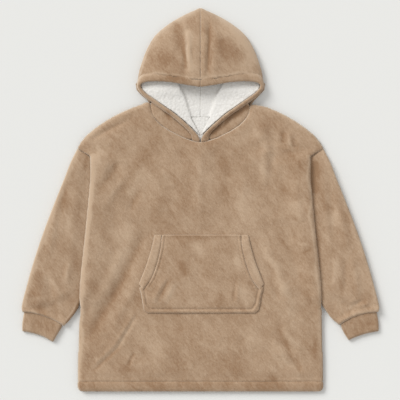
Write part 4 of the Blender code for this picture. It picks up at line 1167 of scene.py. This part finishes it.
@dataclass
class Hood:
    """The hood's plush outside, the band along its face edge, its front below it, and its curly lining."""

    voxel: float = 0.0023
    lining_voxel: float = 0.0021
    rim: float = 0.0028
    curl_size: float = 0.0085
    curl_height: float = 0.0009
    tuck: float = 0.0075
    cut: tuple[float, float] = (0.37, 0.33)
    area: float = 0.075
    band_voxel: float = 0.002
    band_cut: tuple[float, float] = (0.40, 0.030)
    band_area: float = 0.0085
    front_voxel: float = 0.0022
    front_cut: tuple[float, float] = (0.15, 0.045)
    front_area: float = 0.0042
    lining_cut: tuple[float, float] = (0.33, 0.36)
    lining_area: float = 0.068
    neck_lining_cut: tuple[float, float] = (0.080, 0.071)
    band_waves: Ripple = Ripple(0.024, 12, 0.0007, (1, 1, 0.4))
    fluff: Ripple = Ripple(0.0035, 21, 0.0004)
    creases: tuple[Mark, ...] = (
        Mark(((-82, 532), (-62, 480), (-50, 440)), 17, -2.8),
        Mark(((-50, 460), (-45, 376)), 8, -3.2),
        Mark(((-38, 508), (-34, 440), (-30, 372)), 8, 4.6),
        Mark(((9, 548), (13, 470), (11, 366)), 8, 3.2),
        Mark(((27, 530), (28, 470), (22, 372)), 5, -3.4),
        Mark(((44, 500), (48, 380)), 14, 2.6),
    )
    band_top: tuple[tuple[float, float], ...] = ((186, 358), *mirrored(BAND_TOP))
    neck_creases: tuple[Mark, ...] = (
        Mark(((-108, 268), (-89, 241)), 5, -2.0),
        Mark(((-100, 262), (-78, 232)), 7, 1.5),
        Mark(((77, 252), (61, 216)), 6, 2.2),
        Mark(((92, 250), (76, 222)), 6, -1.6),
        Mark(((143, 288), (141, 268)), 3.5, -2.0),
    )

    def build(self, finishes: Wardrobe) -> None:
        """Makes and dresses the hood's pieces.

        Args:
            finishes: The garment's finishes.
        """
        for side in Side:
            self.shell(side, finishes)
            self.lining(f"hood_lining_{side.label}", finishes, self.lining_cut, self.lining_area)
        self.lining("neck_lining", finishes, self.neck_lining_cut, None)

    def round_outline(self, cloth: Cloth) -> None:
        """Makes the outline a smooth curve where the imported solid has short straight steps.

        Args:
            cloth: A piece of the hood.
        """
        rows = np.array(HOOD_HALF_WIDTHS)[::-1]
        smooth = through(HOOD_HALF_WIDTHS, 10)[::-1]
        points = cloth.points
        y = points[:, 1] / MM
        stepped, curved = np.interp(y, *rows.T), np.interp(y, *smooth.T)
        share = np.clip(np.abs(points[:, 0]) / MM / np.maximum(stepped, 1), 0, 1)
        inside = ease((y - 333) / 10) * ease((566 - y) / 6)
        points[:, 0] *= 1 + (curved / np.maximum(stepped, 1) - 1) * ease(share) * inside
        cloth.points = points

    def shell(self, side: Side, finishes: Wardrobe) -> None:
        """Makes one side of the hood's outside.

        Args:
            side: Which side.
            finishes: The garment's finishes.
        """
        outside = Cloth.over_node(f"hood_{side.label}", self.voxel, 6)
        self.round_outline(outside)
        outside.widen(self.rim)
        points = outside.points
        seam = np.abs(points[:, 0]) / MM
        points[:, 1] -= self.tuck * Mark(self.band_top, 9, 1.0, False).at(seam, points[:, 1] / MM)
        outside.points = points
        outside.crease(self.creases)
        outside.brush(HOOD_NAP_AND_PAINTED_LIGHT)
        outside.nudge()
        outside.dress(finishes.plush)
        outside.declare(f"hood_{side.label}", Slot.PLUSH, self.cut, self.area)
        band = Cloth.over_node(f"hood_band_{side.label}", self.band_voxel, 3)
        band.swell(np.full(len(band.points), self.rim * 0.43))
        band.lift_top(self.band_waves.at(band.points))
        band.brush(HOOD_NAP_AND_PAINTED_LIGHT)
        band.dress(finishes.plush)
        band.declare(f"hood_band_{side.label}", Slot.PLUSH, self.band_cut, self.band_area)
        front = Cloth.over_node(f"hood_front_{side.label}", self.front_voxel, 3)
        self.tuck_under_band(front, side)
        front.widen(self.rim)
        front.crease(self.neck_creases)
        front.brush(HOOD_NAP_AND_PAINTED_LIGHT)
        front.nudge()
        front.dress(finishes.plush)
        front.declare(f"hood_front_{side.label}", Slot.PLUSH, self.front_cut, self.front_area)

    def raise_wedges(self, lining: Cloth) -> None:
        """Lifts the lining's side wedges nearer to the band's free edge.

        Args:
            lining: A piece of the lining.
        """
        points = lining.points
        x, y = np.abs(points[:, 0]) / MM, points[:, 1] / MM
        room = np.interp(x, (50, 90, 130, 160), (13, 12, 9, 4)) * ease((x - 44) / 22)
        points[:, 2] += room * 0.6 * MM * ease((y - 296) / 34) * ease((364 - y) / 12)
        lining.points = points

    def tuck_under_band(self, front: Cloth, side: Side) -> None:
        """Draws the inner edge of the hood's front further under the band.

        Args:
            front: The piece.
            side: Which side it is on.
        """
        points = front.points
        x, y = points[:, 0] / MM * side.value, points[:, 1] / MM
        inner = ((146.5, 285), (114, 261.5), (79, 234.5), (51, 208.5), (34, 189), (31.5, 180))
        near = Mark(inner, 9, 1.0, False).at(x, y)
        points[:, 0] -= side.value * near * 0.007
        points[:, 1] += near * 0.003
        front.points = points

    def lining(self, node: str, finishes: Wardrobe, flat: tuple[float, float], area: float | None) -> None:
        """Makes one piece of the lining, with its curls wherever they have room.

        Args:
            node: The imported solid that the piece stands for.
            finishes: The garment's finishes.
            flat: The width and length that it was cut to.
            area: Its flat area where the cut isn't a rectangle.
        """
        lining = Cloth.over_node(node, self.lining_voxel, 2)
        lining.widen(0.0009)
        self.raise_wedges(lining)
        neighbours = ("hood_left", "hood_right", "back_panel", "hood_band_left", "hood_band_right")
        free = lining.room(neighbours, 0.006)
        pile = curls(lining.points, self.curl_size) * self.curl_height
        pile += self.fluff.at(lining.points)
        lining.swell((pile - 0.3 * self.curl_height) * ease((free - 0.001) / 0.004))
        lining.dress(finishes.curly)
        lining.declare(node, Slot.CURLY, flat, area)


@dataclass
class Studio:
    """The pale floor, the soft light from the upper left, and the camera straight above."""

    pixel: float = 0.003
    frame_pixels: int = 400
    lens: float = 100.0
    sensor: float = 36.0
    middle: tuple[float, float] = (-0.0012, -0.00135)
    room_colour: tuple[float, float, float, float] = (1.0, 0.985, 0.965, 1)
    room_strength: float = 0.66
    window_from: tuple[float, float, float] = (-1.0, 1.0, 0.98)
    window_strength: float = 2.12
    window_angle: float = 0.5

    def build(self) -> None:
        """Sets up the floor, the lights and the camera."""
        self.floor()
        self.sun()
        world = bpy.data.worlds.new("Room")
        bpy.context.scene.world = world
        world.use_nodes = True
        world.node_tree.nodes["Background"].inputs[0].default_value = self.room_colour
        world.node_tree.nodes["Background"].inputs[1].default_value = self.room_strength
        distance = self.pixel * self.frame_pixels * self.lens / self.sensor
        camera = bpy.data.cameras.new("Camera")
        camera.lens = self.lens
        camera.sensor_width = self.sensor
        camera.clip_end = 20
        camera_object = bpy.data.objects.new("Camera", camera)
        camera_object.location = (*self.middle, distance)
        bpy.context.scene.collection.objects.link(camera_object)
        bpy.context.scene.camera = camera_object
        bpy.context.scene.view_settings.view_transform = "Standard"

    def floor(self) -> None:
        """Lays the floor."""
        shell = bmesh.new()
        bmesh.ops.create_grid(shell, x_segments=1, y_segments=1, size=6)
        mesh = bpy.data.meshes.new("floor")
        shell.to_mesh(mesh)
        shell.free()
        floor = bpy.data.objects.new("floor", mesh)
        floor.location.z = -0.0004
        bpy.context.scene.collection.objects.link(floor)
        material = bpy.data.materials.new("Pale paper")
        material.use_nodes = True
        shader = material.node_tree.nodes["Principled BSDF"]
        shader.inputs["Base Color"].default_value = (0.785, 0.795, 0.785, 1)
        shader.inputs["Roughness"].default_value = 0.95
        shader.inputs["Specular IOR Level"].default_value = 0.1
        mesh.materials.append(material)

    def sun(self) -> None:
        """Hangs the soft light of a wide window."""
        light = bpy.data.lights.new("Window", "SUN")
        light.energy = self.window_strength
        light.angle = self.window_angle
        light.color = (1.0, 0.99, 0.975)
        lamp = bpy.data.objects.new("Window", light)
        lamp.location = Vector(self.window_from) * 3
        lamp.rotation_euler = Vector(self.window_from).to_track_quat("Z", "Y").to_euler()
        bpy.context.scene.collection.objects.link(lamp)


def main() -> None:
    """Builds the garment and the studio round it."""
    logging.basicConfig(level=logging.INFO, format="%(name)s %(message)s")
    finishes = Wardrobe.build()
    Studio().build()
    Body().build(finishes)
    for side in Side:
        Sleeve(side).build(finishes)
    Pocket().build(finishes)
    Hood().build(finishes)


if __name__ == "__main__":
    main()
